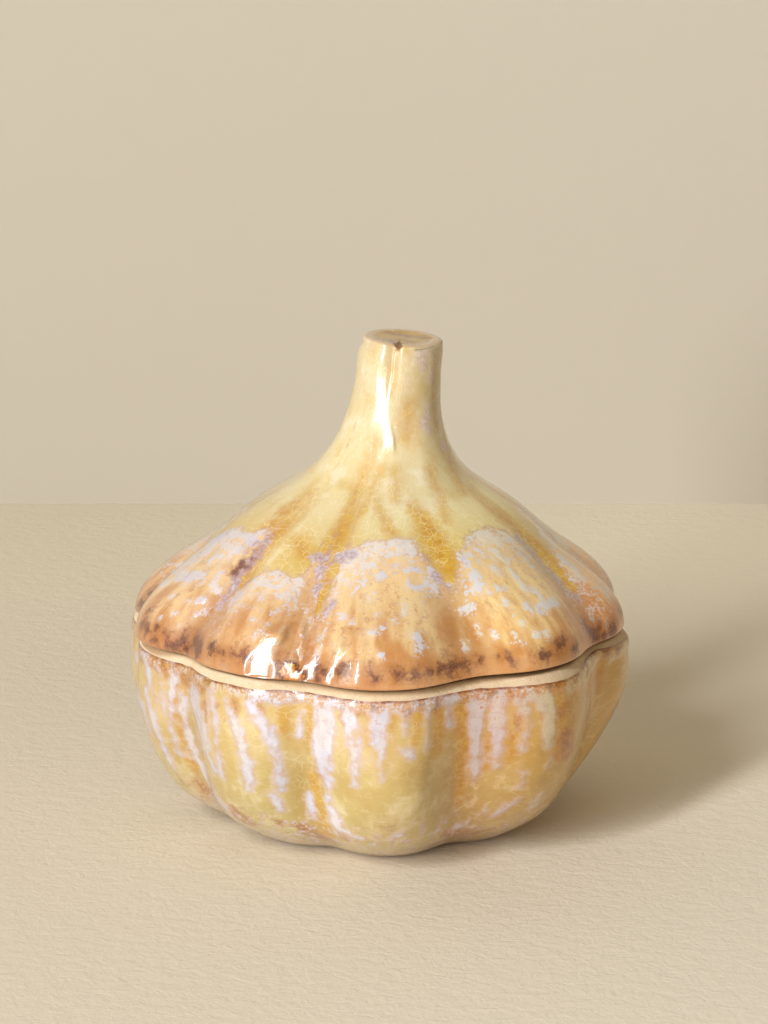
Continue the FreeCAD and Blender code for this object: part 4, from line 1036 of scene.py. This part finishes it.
class Paint:
    def __init__(self, name):
        self.mat = bpy.data.materials.new(name)
        self.mat.use_nodes = True
        self.t = self.mat.node_tree
        self.t.nodes.clear()

    def node(self, kind, **props):
        n = self.t.nodes.new(kind)
        for k, v in props.items():
            setattr(n, k, v)
        return n

    def put(self, socket, value):
        if isinstance(value, bpy.types.NodeSocket):
            self.t.links.new(value, socket)
        else:
            socket.default_value = value

    def m(self, op, a, b=None, c=None, clamp=False):
        n = self.node("ShaderNodeMath", operation=op, use_clamp=clamp)
        for k, x in enumerate((a, b, c)):
            if x is not None:
                self.put(n.inputs[k], x)
        return n.outputs[0]

    def add(self, *xs):
        out = xs[0]
        for x in xs[1:]:
            out = self.m("ADD", out, x)
        return out

    def mul(self, a, b, clamp=False):
        return self.m("MULTIPLY", a, b, clamp=clamp)

    def step(self, x, lo, hi, a=0.0, b=1.0):
        n = self.node("ShaderNodeMapRange", interpolation_type="SMOOTHSTEP")
        self.put(n.inputs["Value"], x)
        for k, v in (("From Min", lo), ("From Max", hi), ("To Min", a), ("To Max", b)):
            self.put(n.inputs[k], v)
        return n.outputs["Result"]

    def mix(self, f, a, b):
        n = self.node("ShaderNodeMix", data_type="RGBA")
        self.put(n.inputs["Factor"], f)
        ins = [i for i in n.inputs if i.type == "RGBA"]
        self.put(ins[0], a)
        self.put(ins[1], b)
        return [o for o in n.outputs if o.type == "RGBA"][0]

    def gain(self, f, colour, k):
        """the colour times k where f is 1"""
        n = self.node("ShaderNodeMix", data_type="RGBA", blend_type="MULTIPLY")
        self.put(n.inputs["Factor"], f)
        ins = [i for i in n.inputs if i.type == "RGBA"]
        self.put(ins[0], colour)
        ins[1].default_value = (*k, 1.0)
        return [o for o in n.outputs if o.type == "RGBA"][0]

    def attr(self, name):
        return self.node("ShaderNodeAttribute", attribute_name=name).outputs["Fac"]

    def vattr(self, name):
        return self.node("ShaderNodeAttribute", attribute_name=name).outputs["Vector"]

    def scale(self, vec, k):
        n = self.node("ShaderNodeVectorMath", operation="MULTIPLY")
        self.put(n.inputs[0], vec)
        n.inputs[1].default_value = k
        return n.outputs[0]

    def shift(self, vec, k):
        n = self.node("ShaderNodeVectorMath", operation="ADD")
        self.put(n.inputs[0], vec)
        n.inputs[1].default_value = k
        return n.outputs[0]

    def noise(self, vec, size, detail=2.0, rough=0.5, twist=0.0):
        """-1 to 1, lumps of about that many millimetres"""
        n = self.node("ShaderNodeTexNoise")
        self.put(n.inputs["Vector"], vec)
        n.inputs["Scale"].default_value = 1.0 / size
        n.inputs["Detail"].default_value = detail
        n.inputs["Roughness"].default_value = rough
        n.inputs["Distortion"].default_value = twist
        return self.m("MULTIPLY_ADD", n.outputs[0], 5.0, -2.5)

    def cells(self, vec, size, feature="DISTANCE_TO_EDGE", jitter=1.0):
        n = self.node("ShaderNodeTexVoronoi", feature=feature)
        self.put(n.inputs["Vector"], vec)
        n.inputs["Scale"].default_value = 1.0 / size
        n.inputs["Randomness"].default_value = jitter
        return self.mul(n.outputs["Distance"], size)

    def pushed(self, vec, source, amount):
        """the vector moved by a coloured noise, for wandering lines"""
        n = self.node("ShaderNodeTexNoise")
        self.put(n.inputs["Vector"], source)
        n.inputs["Scale"].default_value = 1.0 / 6.0
        n.inputs["Detail"].default_value = 1.0
        s = self.node("ShaderNodeVectorMath", operation="SCALE")
        self.put(s.inputs[0], n.outputs["Color"])
        s.inputs["Scale"].default_value = amount
        a = self.node("ShaderNodeVectorMath", operation="ADD")
        self.put(a.inputs[0], vec)
        self.put(a.inputs[1], s.outputs[0])
        return a.outputs[0]

    def bump(self, height, distance_mm, normal=None):
        n = self.node("ShaderNodeBump")
        n.inputs["Strength"].default_value = 1.0
        n.inputs["Distance"].default_value = distance_mm * MM
        self.put(n.inputs["Height"], height)
        if normal is not None:
            self.put(n.inputs["Normal"], normal)
        return n.outputs[0]

    def finish(self, colour, rough, coat, normal, coat_rough=0.045):
        b = self.node("ShaderNodeBsdfPrincipled")
        out = self.node("ShaderNodeOutputMaterial")
        self.put(b.inputs["Base Color"], colour)
        self.put(b.inputs["Roughness"], rough)
        self.put(b.inputs["Coat Weight"], coat)
        b.inputs["Coat Roughness"].default_value = coat_rough
        b.inputs["Coat IOR"].default_value = 1.5
        b.inputs["IOR"].default_value = 1.5
        if normal is not None:
            self.put(b.inputs["Normal"], normal)
            self.put(b.inputs["Coat Normal"], normal)
        self.t.links.new(b.outputs[0], out.inputs[0])
        return self.mat


def shared(p):
    """what both glazes use: position in millimetres, the flow space, mottling; each noise runs about -1 to 1"""
    tc = p.node("ShaderNodeTexCoord").outputs["Object"]
    pos = p.scale(tc, (1000, 1000, 1000))
    flow = p.vattr("flow")
    d = dict(pos=pos, flow=flow)
    d["soft"] = p.noise(p.shift(pos, (31, 7, 5)), 12, 2, 0.5)
    d["run"] = p.noise(p.scale(flow, (1, 1, 0.30)), 3.4, 3, 0.55)
    d["mid"] = p.noise(p.shift(pos, (13, 3, 49)), 2.6, 4, 0.62, 0.25)
    d["fine"] = p.noise(p.shift(pos, (3, 71, 9)), 0.85, 2, 0.6)
    d["tiny"] = p.noise(pos, 0.40, 1, 0.5)
    d["calm"] = p.noise(p.shift(pos, (23, 9, 41)), 2.3, 2, 0.45)
    d["n"] = p.add(p.mul(d["mid"], 1.15), p.mul(d["fine"], 0.55), p.mul(d["run"], 0.35))
    return d


def crackle(p, d, strength):
    one = p.cells(p.pushed(p.scale(d["flow"], (0.52, 0.52, 1.15)), d["flow"], 2.4), 3.0)
    two = p.cells(p.shift(p.pushed(p.scale(d["flow"], (0.8, 0.8, 0.8)), d["flow"], 1.6), (9, 5, 3)), 1.9)
    gate = p.step(p.noise(p.shift(d["pos"], (60, 6, 6)), 6.5, 2), -0.5, 0.6)
    a = p.mul(p.step(one, 0.13, 0.03), p.step(p.add(gate, d["soft"], p.mul(d["calm"], 0.8)), -0.6, 0.7, 0.15, 1.0))
    b = p.mul(p.step(two, 0.10, 0.02), p.step(p.add(gate, p.mul(d["calm"], 0.5)), 0.2, 1.0))
    return p.mul(p.m("MAXIMUM", a, p.mul(b, 0.8)), strength, clamp=True)


def clay_colour(p, d):
    c = p.mix(p.step(d["mid"], -0.9, 0.9), col(226, 199, 160), col(235, 210, 174))
    return p.mix(p.mul(p.step(d["tiny"], 0.6, 1.2), 0.3), c, col(190, 140, 90))


def pale(p, d):
    """the milky white of the runs and flecks: warm and cool white, lavender, here and there tan"""
    c = p.mix(p.step(p.add(d["soft"], p.mul(d["run"], 0.4)), -0.9, 1.2), col(208, 208, 222), col(226, 217, 210))
    c = p.mix(p.mul(p.step(p.add(d["mid"], p.mul(d["fine"], 0.5)), 0.1, -1.2), 0.7), c, col(190, 174, 194))
    return p.mix(p.mul(p.step(p.add(d["fine"], p.mul(d["tiny"], 0.7)), 0.4, 1.7), 0.4), c, col(208, 168, 128))


def bowl_material():
    p = Paint("bowl_glaze")
    d = shared(p)
    gd, W, A, O, val, zone, low = (p.attr(k) for k in ("gd", "W", "A", "O", "val", "zone", "low"))
    s = p.node("ShaderNodeSeparateXYZ")
    p.put(s.inputs[0], d["flow"])
    s = s.outputs[2]
    px = p.node("ShaderNodeSeparateXYZ")
    p.put(px.inputs[0], d["pos"])
    px = px.outputs[0]
    # yellow glaze: olive below, warmer by the rim, lighter runs, browner round to the right
    base = p.mix(p.step(s, 6, 44), col(212, 180, 112), col(198, 174, 106))
    base = p.mix(p.mul(p.step(p.add(d["soft"], p.mul(d["run"], 0.9)), -0.3, 1.4), 0.75), base, col(228, 208, 156))
    base = p.mix(p.mul(p.step(p.add(d["soft"], p.mul(d["mid"], 0.3)), 0.0, -1.3), 0.5), base, col(188, 150, 74))
    # amber in the valleys: partly glaze pooled there, partly painted shade of the valleys
    base = p.mix(p.mul(p.step(val, 0.7, 1.0), 0.45), base, col(178, 132, 58))
    base = p.mix(p.mul(p.step(p.add(px, p.mul(d["run"], 8.0)), 18, 56), 0.55), base, col(198, 148, 62))
    am = p.step(p.add(A, p.mul(d["run"], 0.9), p.mul(d["mid"], 0.5)), -1.6, 1.4)
    base = p.mix(p.mul(am, 0.85), base, p.mix(p.step(d["mid"], -1.0, 1.0), col(194, 132, 30), col(214, 166, 66)))
    # warmer between the runs near the top, paler blotches further down
    base = p.mix(p.mul(p.mul(p.step(s, 24, 4), p.step(p.add(d["calm"], d["run"]), -0.6, 1.2)), 0.55), base, col(206, 152, 62))
    base = p.mix(p.mul(p.mul(p.step(s, 14, 26), p.step(p.add(d["calm"], p.mul(d["soft"], 0.8)), 0.2, 1.4)), 0.5), base, col(226, 208, 166))
    cr = crackle(p, d, 0.26)
    base = p.mix(cr, base, col(240, 224, 166))
    # rust
    rust = p.step(p.add(O, d["n"]), -0.9, 0.7)
    rcol = p.mix(p.step(p.add(d["fine"], d["mid"]), -1.4, 1.4), col(146, 86, 48), col(208, 148, 92))
    base = p.mix(p.mul(rust, 0.8), base, rcol)
    # the mottled ring low down
    where = p.step(low, 33, 22)
    ring = p.mul(where, p.step(p.add(d["n"], p.mul(d["soft"], 0.8), p.mul(d["calm"], 0.5)), -0.3, 0.9))
    base = p.mix(p.mul(ring, 0.66), base, p.mix(p.step(p.add(d["fine"], d["calm"]), -1, 1), col(168, 116, 80), col(220, 184, 142)))
    # pale runs: a rosy halo round each, then the run itself, its edge smooth, its middle broken by rust
    wf = p.add(W, p.mul(d["calm"], 0.6), p.mul(d["run"], 0.85), p.mul(d["fine"], 0.3), -0.35)
    halo = p.mix(p.step(d["calm"], -0.8, 0.8), col(206, 170, 140), col(218, 194, 172))
    base = p.mix(p.mul(p.step(wf, -2.0, 0.1), 0.62), base, halo)
    speck = p.add(p.mul(d["mid"], 0.9), p.mul(d["calm"], 0.7), p.mul(d["fine"], 0.75))
    lowfleck = p.add(p.mul(p.step(low, 32, 21), 2.95), -3.75, speck, p.mul(d["run"], 0.4))
    wf = p.m("MAXIMUM", wf, lowfleck)
    white = p.mix(p.step(wf, 1.1, -0.2), pale(p, d), col(204, 184, 190))
    base = p.mix(p.mul(p.step(wf, -0.85, 0.75), p.step(p.add(d["mid"], d["run"]), -1.2, 1.2, 0.6, 0.9)), base, white)
    eat = p.mul(p.mul(p.step(speck, 0.9, 1.7), p.step(s, 20, 8)), p.step(wf, -0.4, 0.4))
    base = p.mix(p.mul(eat, 0.7), base, col(196, 136, 84))
    # by the glaze line: rust, white and lavender mixed, then a thin brown line
    patch = p.noise(p.scale(d["flow"], (1, 1, 0.45)), 3.6, 3, 0.6)
    band = p.mul(p.step(p.add(gd, d["n"], p.mul(patch, 1.5)), 3.9, 0.7), p.step(gd, -0.1, 0.1))
    bcol = p.mix(p.step(p.add(patch, p.mul(d["fine"], 0.8)), -0.2, 0.25), col(204, 142, 70), col(214, 206, 210))
    bcol = p.mix(p.mul(p.step(p.add(p.mul(d["tiny"], 0.5), d["mid"], p.mul(patch, -0.9)), 0.3, 1.1), 0.85), bcol, col(118, 68, 44))
    base = p.mix(p.mul(band, 0.70), base, bcol)
    edge = p.mul(p.step(p.add(gd, p.mul(d["mid"], 0.35)), 0.75, 0.15), p.step(gd, -0.12, 0.0))
    base = p.mix(p.mul(edge, p.step(d["calm"], -1.0, 0.9, 0.95, 0.35)), base, col(140, 76, 42))
    # painted light and shade: the glaze colour scaled by side, darker and browner right of the middle, lighter and
    # yellower further right, darker at the far left, lighter and cooler left of the middle, standing in for how the
    # lamps fall on each side
    base = p.gain(p.step(px, 6, 28), base, (0.92, 0.80, 0.71))
    base = p.gain(p.step(px, 30, 50), base, (1.15, 1.20, 0.78))
    base = p.gain(p.step(px, -22, -44), base, (0.91, 0.91, 0.90))
    base = p.gain(p.mul(p.step(px, -42, -28), p.step(px, 2, -14)), base, (1.01, 1.07, 1.16))
    clay = p.step(gd, 0.06, -0.08)
    # painted shade: the rim's clay darkened under the lid's edge, standing in for the shadow in the gap
    colour = p.mix(clay, base, p.gain(p.step(p.attr("gap_shade"), 0.0, 1.0), clay_colour(p, d), (0.62, 0.53, 0.44)))
    # inside: plain pale glaze
    inside = p.step(zone, 1.4, 1.6)
    icol = p.mix(p.step(d["soft"], -0.8, 0.8), col(222, 198, 140), col(236, 220, 176))
    icol = p.mix(cr, icol, col(206, 178, 116))
    colour = p.mix(p.mul(inside, p.m("SUBTRACT", 1.0, clay)), colour, icol)
    under = p.mul(p.step(zone, 0.6, 0.9), p.step(zone, 1.4, 1.1))
    colour = p.mix(p.mul(under, p.m("SUBTRACT", 1.0, clay)), colour, p.mix(p.step(d["soft"], -0.8, 0.8), col(206, 176, 104), col(222, 200, 142)))
    rough = p.add(p.step(clay, 0.0, 1.0, 0.36, 0.8), p.mul(p.step(wf, -0.3, 0.3), 0.08))
    h = p.add(p.mul(d["tiny"], p.step(clay, 0, 1, 0.002, 0.025)), p.mul(p.noise(d["pos"], 3.6, 1), 0.02), p.mul(cr, -0.05),
              p.mul(p.step(wf, -0.6, 0.6), 0.03))
    return p.finish(colour, rough, p.step(clay, 0.9, 0.1), p.bump(h, 1.0))


def lid_material():
    p = Paint("lid_glaze")
    d = shared(p)
    gd, W, L, B, T, A, ov, val, zone, top, drop = (p.attr(k) for k in ("gd", "W", "L", "B", "T", "A", "ov", "val", "zone", "top", "drop"))
    s = p.node("ShaderNodeSeparateXYZ")
    p.put(s.inputs[0], d["flow"])
    s = s.outputs[2]
    # no streaks up the stem, only soft clouds
    up = p.step(s, 50, 64)
    d["run"] = p.add(p.mul(d["run"], p.m("SUBTRACT", 1.0, up)), p.mul(p.noise(p.scale(d["pos"], (1, 1, 0.6)), 4.0, 3, 0.55), p.mul(up, 0.8)))
    base = p.mix(p.step(s, 34, 54), col(214, 182, 104), col(228, 208, 154))
    base = p.mix(p.step(s, 60, 88), base, col(216, 196, 152))
    base = p.mix(p.mul(p.step(p.add(d["soft"], p.mul(d["run"], 0.5)), 0.0, 1.5), 0.6), base, col(236, 221, 180))
    base = p.mix(p.mul(p.step(p.add(d["soft"], p.mul(d["run"], 0.5)), 0.0, -1.5), 0.5), base, col(206, 174, 96))
    # amber in the valleys below the neck: partly glaze pooled there, partly painted shade of the valleys
    base = p.mix(p.mul(p.step(val, 0.5, 1.0), p.step(s, 62, 44, 0.05, 0.6)), base, col(200, 152, 52))
    band = p.node("ShaderNodeSeparateXYZ")
    p.put(band.inputs[0], d["flow"])
    band = p.mul(p.mul(p.step(p.m("ABSOLUTE", p.m("SUBTRACT", band.outputs[0], 51.0)), 6.0, 1.0), p.step(band.outputs[1], 10, 20)), p.step(s, 68, 78))
    base = p.mix(p.mul(band, p.step(d["mid"], -0.8, 0.8, 0.3, 0.8)), base, col(200, 158, 100))
    cloud = p.noise(p.shift(p.scale(d["pos"], (1, 1, 0.7)), (3, 33, 8)), 6.0, 3, 0.6)
    base = p.mix(p.mul(p.mul(p.step(cloud, 0.05, 1.1), p.step(s, 46, 60)), 0.5), base, col(212, 176, 100))
    base = p.mix(p.mul(p.mul(p.step(cloud, -0.1, -1.0), p.step(s, 46, 60)), 0.55), base, col(240, 228, 200))
    am = p.step(p.add(A, p.mul(d["run"], 0.9), p.mul(d["calm"], 0.9), p.mul(d["mid"], 0.4)), -2.8, 1.8)
    base = p.mix(p.mul(am, p.step(s, 44, 60, 0.85, 0.6)), base, p.mix(p.step(d["calm"], -1, 1), col(192, 130, 22), col(212, 164, 60)))
    cr = crackle(p, d, 0.36)
    base = p.mix(cr, base, col(244, 232, 190))
    # the second glaze: orange tan, mottled finer and finer
    of = p.add(ov, p.mul(d["mid"], 1.2), p.mul(d["run"], 0.8), p.mul(d["fine"], 0.35))
    over = p.step(of, -0.9, 0.7)
    oc = p.mix(p.step(p.add(p.mul(d["run"], 1.0), p.mul(d["soft"], 0.6)), -1.2, 1.1), col(200, 138, 82), col(232, 192, 138))
    oc = p.mix(p.mul(p.step(p.add(s, p.mul(d["run"], 5.0), p.mul(d["mid"], 2.0)), 8, 26), 0.7), oc, col(242, 210, 156))
    oc = p.mix(p.mul(p.step(p.add(d["mid"], p.mul(d["fine"], 0.8), p.mul(d["calm"], 0.5)), 0.0, 1.3), 0.62), oc, col(198, 128, 66))
    oc = p.mix(p.mul(p.step(p.add(d["calm"], p.mul(d["fine"], 0.7), p.mul(d["mid"], -0.4)), 0.7, 1.5), 0.5), oc, col(168, 108, 70))
    oc = p.mix(p.mul(p.step(p.add(T, p.mul(d["n"], 0.8)), -1.2, 0.8), 0.42), oc, col(194, 128, 72))
    oc = p.mix(p.mul(p.step(p.add(s, p.mul(d["mid"], 1.8), p.mul(d["run"], 1.8), p.mul(d["calm"], 1.5)), 10.5, 2.5), 0.6), oc, col(184, 116, 64))
    # browner in the valleys of the second glaze: partly its own colour, partly painted shade of the valleys
    oc = p.mix(p.mul(p.step(p.add(val, p.mul(d["run"], 0.12), p.mul(d["mid"], 0.08)), 0.62, 1.05), 0.5), oc, col(168, 106, 60))
    base = p.mix(p.mul(over, 0.96), base, oc)
    base = p.mix(p.mul(p.mul(p.step(of, -1.6, -0.2), p.step(of, 1.4, 0.0)), 0.5), base, col(182, 146, 138))
    # white and lavender flecks, thick near the upper border
    belt = p.add(p.step(ov, 20.0, 0.5, -1.70, 0.12), p.mul(d["soft"], 0.35), p.mul(p.step(val, 0.6, 0.95), -0.9))
    broken = p.add(p.mul(d["mid"], 0.85), p.mul(d["calm"], 0.35), p.mul(d["fine"], 0.9), p.mul(d["tiny"], 0.3))
    wf = p.m("MAXIMUM", p.add(W, p.mul(broken, 1.2), -0.35), p.add(belt, broken, p.mul(p.step(ov, 0.0, -1.2), -3.0)))
    base = p.mix(p.mul(p.step(wf, -1.9, 0.1), 0.42), base, p.mix(p.step(d["run"], -0.8, 0.8), col(214, 168, 124), col(232, 204, 172)))
    base = p.mix(p.mul(p.step(wf, -0.55, 0.55), 0.84), base, pale(p, d))
    lf = p.add(L, p.mul(d["n"], 1.0))
    lcol = p.mix(p.step(d["fine"], -1, 1), col(166, 134, 136), col(200, 186, 198))
    lcol = p.mix(p.step(s, 48, 62), lcol, p.mix(p.step(d["fine"], -1, 1), col(206, 178, 162), col(226, 208, 198)))
    base = p.mix(p.mul(p.step(lf, -0.9, 0.7), 0.74), base, lcol)
    # brown and plum blotches near the edge
    bf = p.add(B, p.mul(d["n"], 1.2), p.mul(d["calm"], 0.5), -0.25)
    base = p.mix(p.mul(p.step(bf, -3.0, 0.8), 0.6), base, col(150, 90, 54))
    bcol = p.mix(p.step(p.add(d["fine"], d["tiny"]), -1.4, 1.6), col(80, 44, 36), col(136, 86, 62))
    base = p.mix(p.mul(p.step(bf, -0.9, 1.2), 0.88), base, bcol)
    # the last bit above the edge: lighter tan, and a thin brown line on the edge, partly the glaze's own brown edge and
    # partly painted shade of the gap beneath
    base = p.mix(p.mul(p.step(p.add(s, p.mul(d["mid"], 0.4)), 1.5, 0.4), 0.5), base, col(196, 132, 80))
    base = p.mix(p.mul(p.step(gd, 0.8, 0.2), 0.75), base, col(92, 50, 30))
    # the glassy drop on the edge
    df = p.add(drop, p.mul(d["calm"], 0.25), p.mul(d["fine"], 0.12))
    base = p.mix(p.step(df, -0.7, 0.1), base, col(88, 44, 26))
    base = p.mix(p.step(df, 0.05, 0.55), base, p.mix(p.step(d["calm"], -0.5, 0.7), col(186, 112, 34), col(224, 160, 70)))
    # the top: pale rim, amber pool
    pool = p.add(top, p.mul(d["mid"], 0.7))
    base = p.mix(p.mul(p.mul(p.step(top, 0.1, 0.6), p.step(pool, 3.4, 1.9)), p.step(d["mid"], -1.0, 0.6, 0.3, 0.8)), base, col(222, 180, 146))
    base = p.mix(p.step(pool, 1.9, 3.4), base, p.mix(p.step(p.noise(p.shift(d["pos"], (5, 5, 5)), 4.5, 2), -0.8, 0.8), col(164, 112, 28), col(212, 168, 72)))
    base = p.mix(p.mul(p.step(p.add(p.attr("cleft"), p.mul(d["mid"], 0.15)), 0.25, 0.7), 0.85), base, col(118, 70, 32))
    px = p.node("ShaderNodeSeparateXYZ")
    p.put(px.inputs[0], d["pos"])
    px = px.outputs[0]
    # painted light and shade: the glaze colour scaled by side, lighter on the lower middle, lighter on the right,
    # lighter on the neck's middle, browner at the far right, darker at the left, standing in for how the lamps fall on
    # each side
    lower = p.step(s, 62, 48)
    base = p.gain(p.mul(p.step(px, -14, 8), lower), base, (1.10, 1.15, 1.16))
    base = p.gain(p.step(px, 6, 34), base, (1.19, 1.20, 1.09))
    base = p.gain(p.mul(p.mul(p.step(px, -2, 8), p.step(s, 42, 54)), p.step(s, 84, 70)), base, (1.09, 1.12, 1.22))
    base = p.gain(p.step(px, 44, 58), base, (1.08, 0.92, 0.80))
    base = p.gain(p.step(px, -26, -46), base, (0.93, 0.92, 0.94))
    clay = p.step(gd, 0.06, -0.08)
    # painted shade: the clay of the seat and the lowest edge darkened as the shadow in the gap over the bowl's rim
    colour = p.mix(clay, base, p.gain(p.step(p.attr("gap_shade"), 0.0, 1.0), clay_colour(p, d), (0.50, 0.42, 0.34)))
    inside = p.mul(p.step(zone, 1.4, 1.6), p.m("SUBTRACT", 1.0, clay))
    icol = p.mix(p.step(d["soft"], -0.8, 0.8), col(222, 198, 140), col(236, 220, 176))
    colour = p.mix(inside, colour, p.mix(cr, icol, col(206, 178, 116)))
    rough = p.add(p.step(clay, 0.0, 1.0, 0.36, 0.8), p.mul(p.step(wf, -0.3, 0.3), 0.08))
    worn = p.step(p.add(p.attr("dull"), p.mul(d["calm"], 0.25)), -0.3, 0.5)
    rough = p.add(rough, p.mul(worn, 0.16))
    h = p.add(p.mul(d["tiny"], p.step(clay, 0, 1, 0.002, 0.025)), p.mul(p.noise(d["pos"], 3.6, 1), 0.015), p.mul(cr, -0.04),
              p.mul(p.step(wf, -0.5, 0.5), 0.015))
    return p.finish(colour, rough, p.mul(p.step(clay, 0.9, 0.1), p.step(worn, 0.0, 1.0, 1.0, 0.08)), p.bump(h, 1.0))


bowl = make_bowl()
lid = make_lid()
bowl.data.materials.append(bowl_material())
lid.data.materials.append(lid_material())
for piece, name in ((bowl, "bowl"), (lid, "lid")):
    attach(piece, name)
    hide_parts(name)


# ------------------------------------------------------------------ stage
def plane(name, corners):
    me = bpy.data.meshes.new(name)
    me.from_pydata(corners, [], [(0, 1, 2, 3)])
    ob = bpy.data.objects.new(name, me)
    bpy.context.scene.collection.objects.link(ob)
    return ob


WALL_Y = 0.300
floor = plane("floor", [(-6, -6, 0), (6, -6, 0), (6, WALL_Y, 0), (-6, WALL_Y, 0)])
wall = plane("wall", [(-6, WALL_Y, 0), (6, WALL_Y, 0), (6, WALL_Y, 5), (-6, WALL_Y, 5)])
beyond = plane("floor_beyond", [(-6, WALL_Y, -0.0005), (6, WALL_Y, -0.0005), (6, 6, -0.0005), (-6, 6, -0.0005)])


def floor_material():
    p = Paint("floor_plaster")
    tc = p.node("ShaderNodeTexCoord").outputs["Object"]
    pos = p.scale(tc, (1000, 1000, 1000))
    big = p.noise(pos, 160, 2)
    x = p.node("ShaderNodeSeparateXYZ")
    p.put(x.inputs[0], tc)
    c = p.mix(p.step(big, -1.5, 1.5), col(219, 208, 186, 1.0), col(222, 211, 190, 1.0))
    # painted light: the floor lighter towards the right and towards the back, standing in for how the lamps fall across
    # it
    c = p.mix(p.step(x.outputs[0], -0.14, 0.18), c, col(235, 226, 206, 1.0))
    c = p.gain(p.step(x.outputs[1], 0.05, 0.28), c, (1.08, 1.085, 1.05))
    a = p.noise(p.scale(pos, (0.8, 1.0, 1.0)), 3.6, 3, 0.6, 0.6)
    b = p.noise(p.shift(pos, (50, 7, 0)), 1.1, 2)
    h = p.add(p.mul(a, 0.05), p.mul(b, 0.014))
    pb = p.finish(c, 0.7, 0.0, p.bump(h, 1.0))
    return pb


def wall_material():
    p = Paint("wall_paint")
    tc = p.node("ShaderNodeTexCoord").outputs["Object"]
    pos = p.scale(tc, (1000, 1000, 1000))
    x = p.node("ShaderNodeSeparateXYZ")
    p.put(x.inputs[0], tc)
    # painted light: the wall lighter towards the right, standing in for how the lamps fall across it
    c = p.mix(p.step(x.outputs[0], -0.16, 0.20), col(182, 173, 155, 1.0), col(193, 184, 167, 1.0))
    b = p.node("ShaderNodeBsdfPrincipled")
    p.put(b.inputs["Base Color"], c)
    b.inputs["Roughness"].default_value = 0.85
    clear = p.node("ShaderNodeBsdfTransparent")
    back = p.node("ShaderNodeNewGeometry").outputs["Backfacing"]
    mx = p.node("ShaderNodeMixShader")
    p.put(mx.inputs[0], back)
    p.t.links.new(b.outputs[0], mx.inputs[1])
    p.t.links.new(clear.outputs[0], mx.inputs[2])
    out = p.node("ShaderNodeOutputMaterial")
    p.t.links.new(mx.outputs[0], out.inputs[0])
    return p.mat


fm = floor_material()
floor.data.materials.append(fm)
beyond.data.materials.append(fm)
wall.data.materials.append(wall_material())


# ------------------------------------------------------------------ light
def aim(ob, target):
    ob.rotation_euler = (Vector(target) - ob.location).to_track_quat("-Z", "Y").to_euler()


def softbox(name, azimuth, distance, z, width, height, power, target_z, colour=(1, 1, 1)):
    data = bpy.data.lights.new(name, "AREA")
    data.shape = "RECTANGLE"
    data.size, data.size_y = width, height
    data.energy = power
    data.color = colour
    ob = bpy.data.objects.new(name, data)
    a = math.radians(azimuth)
    ob.location = (distance * math.sin(a), -distance * math.cos(a), z)
    bpy.context.scene.collection.objects.link(ob)
    aim(ob, (0, 0, target_z))
    ob.visible_camera = False
    return ob


softbox("key", -36.0, 1.30, 0.76, 0.16, 1.48, 33.4, 0.76, (0.985, 1.0, 1.04))
softbox("card", 40.0, 1.10, 0.42, 0.75, 0.70, 1.4, 0.30, (1.0, 0.86, 0.66))
world = bpy.data.worlds.new("room")
bpy.context.scene.world = world
world.use_nodes = True
bg = world.node_tree.nodes["Background"]
bg.inputs["Color"].default_value = (1.0, 0.80, 0.51, 1)
bg.inputs["Strength"].default_value = 0.156

# ------------------------------------------------------------------ camera
cam = bpy.data.cameras.new("camera")
cam.sensor_width, cam.lens, cam.sensor_fit = 36.0, 123.047, "AUTO"
cam.clip_start, cam.clip_end = 0.05, 30
view = bpy.data.objects.new("camera", cam)
view.location = (0.001603, -0.876617, 0.324602)
view.rotation_euler = (math.radians(90 - 15.56), 0, 0)
bpy.context.scene.collection.objects.link(view)
bpy.context.scene.camera = view
bpy.context.scene.view_settings.view_transform = "Standard"
bpy.context.scene.view_settings.look = "None"

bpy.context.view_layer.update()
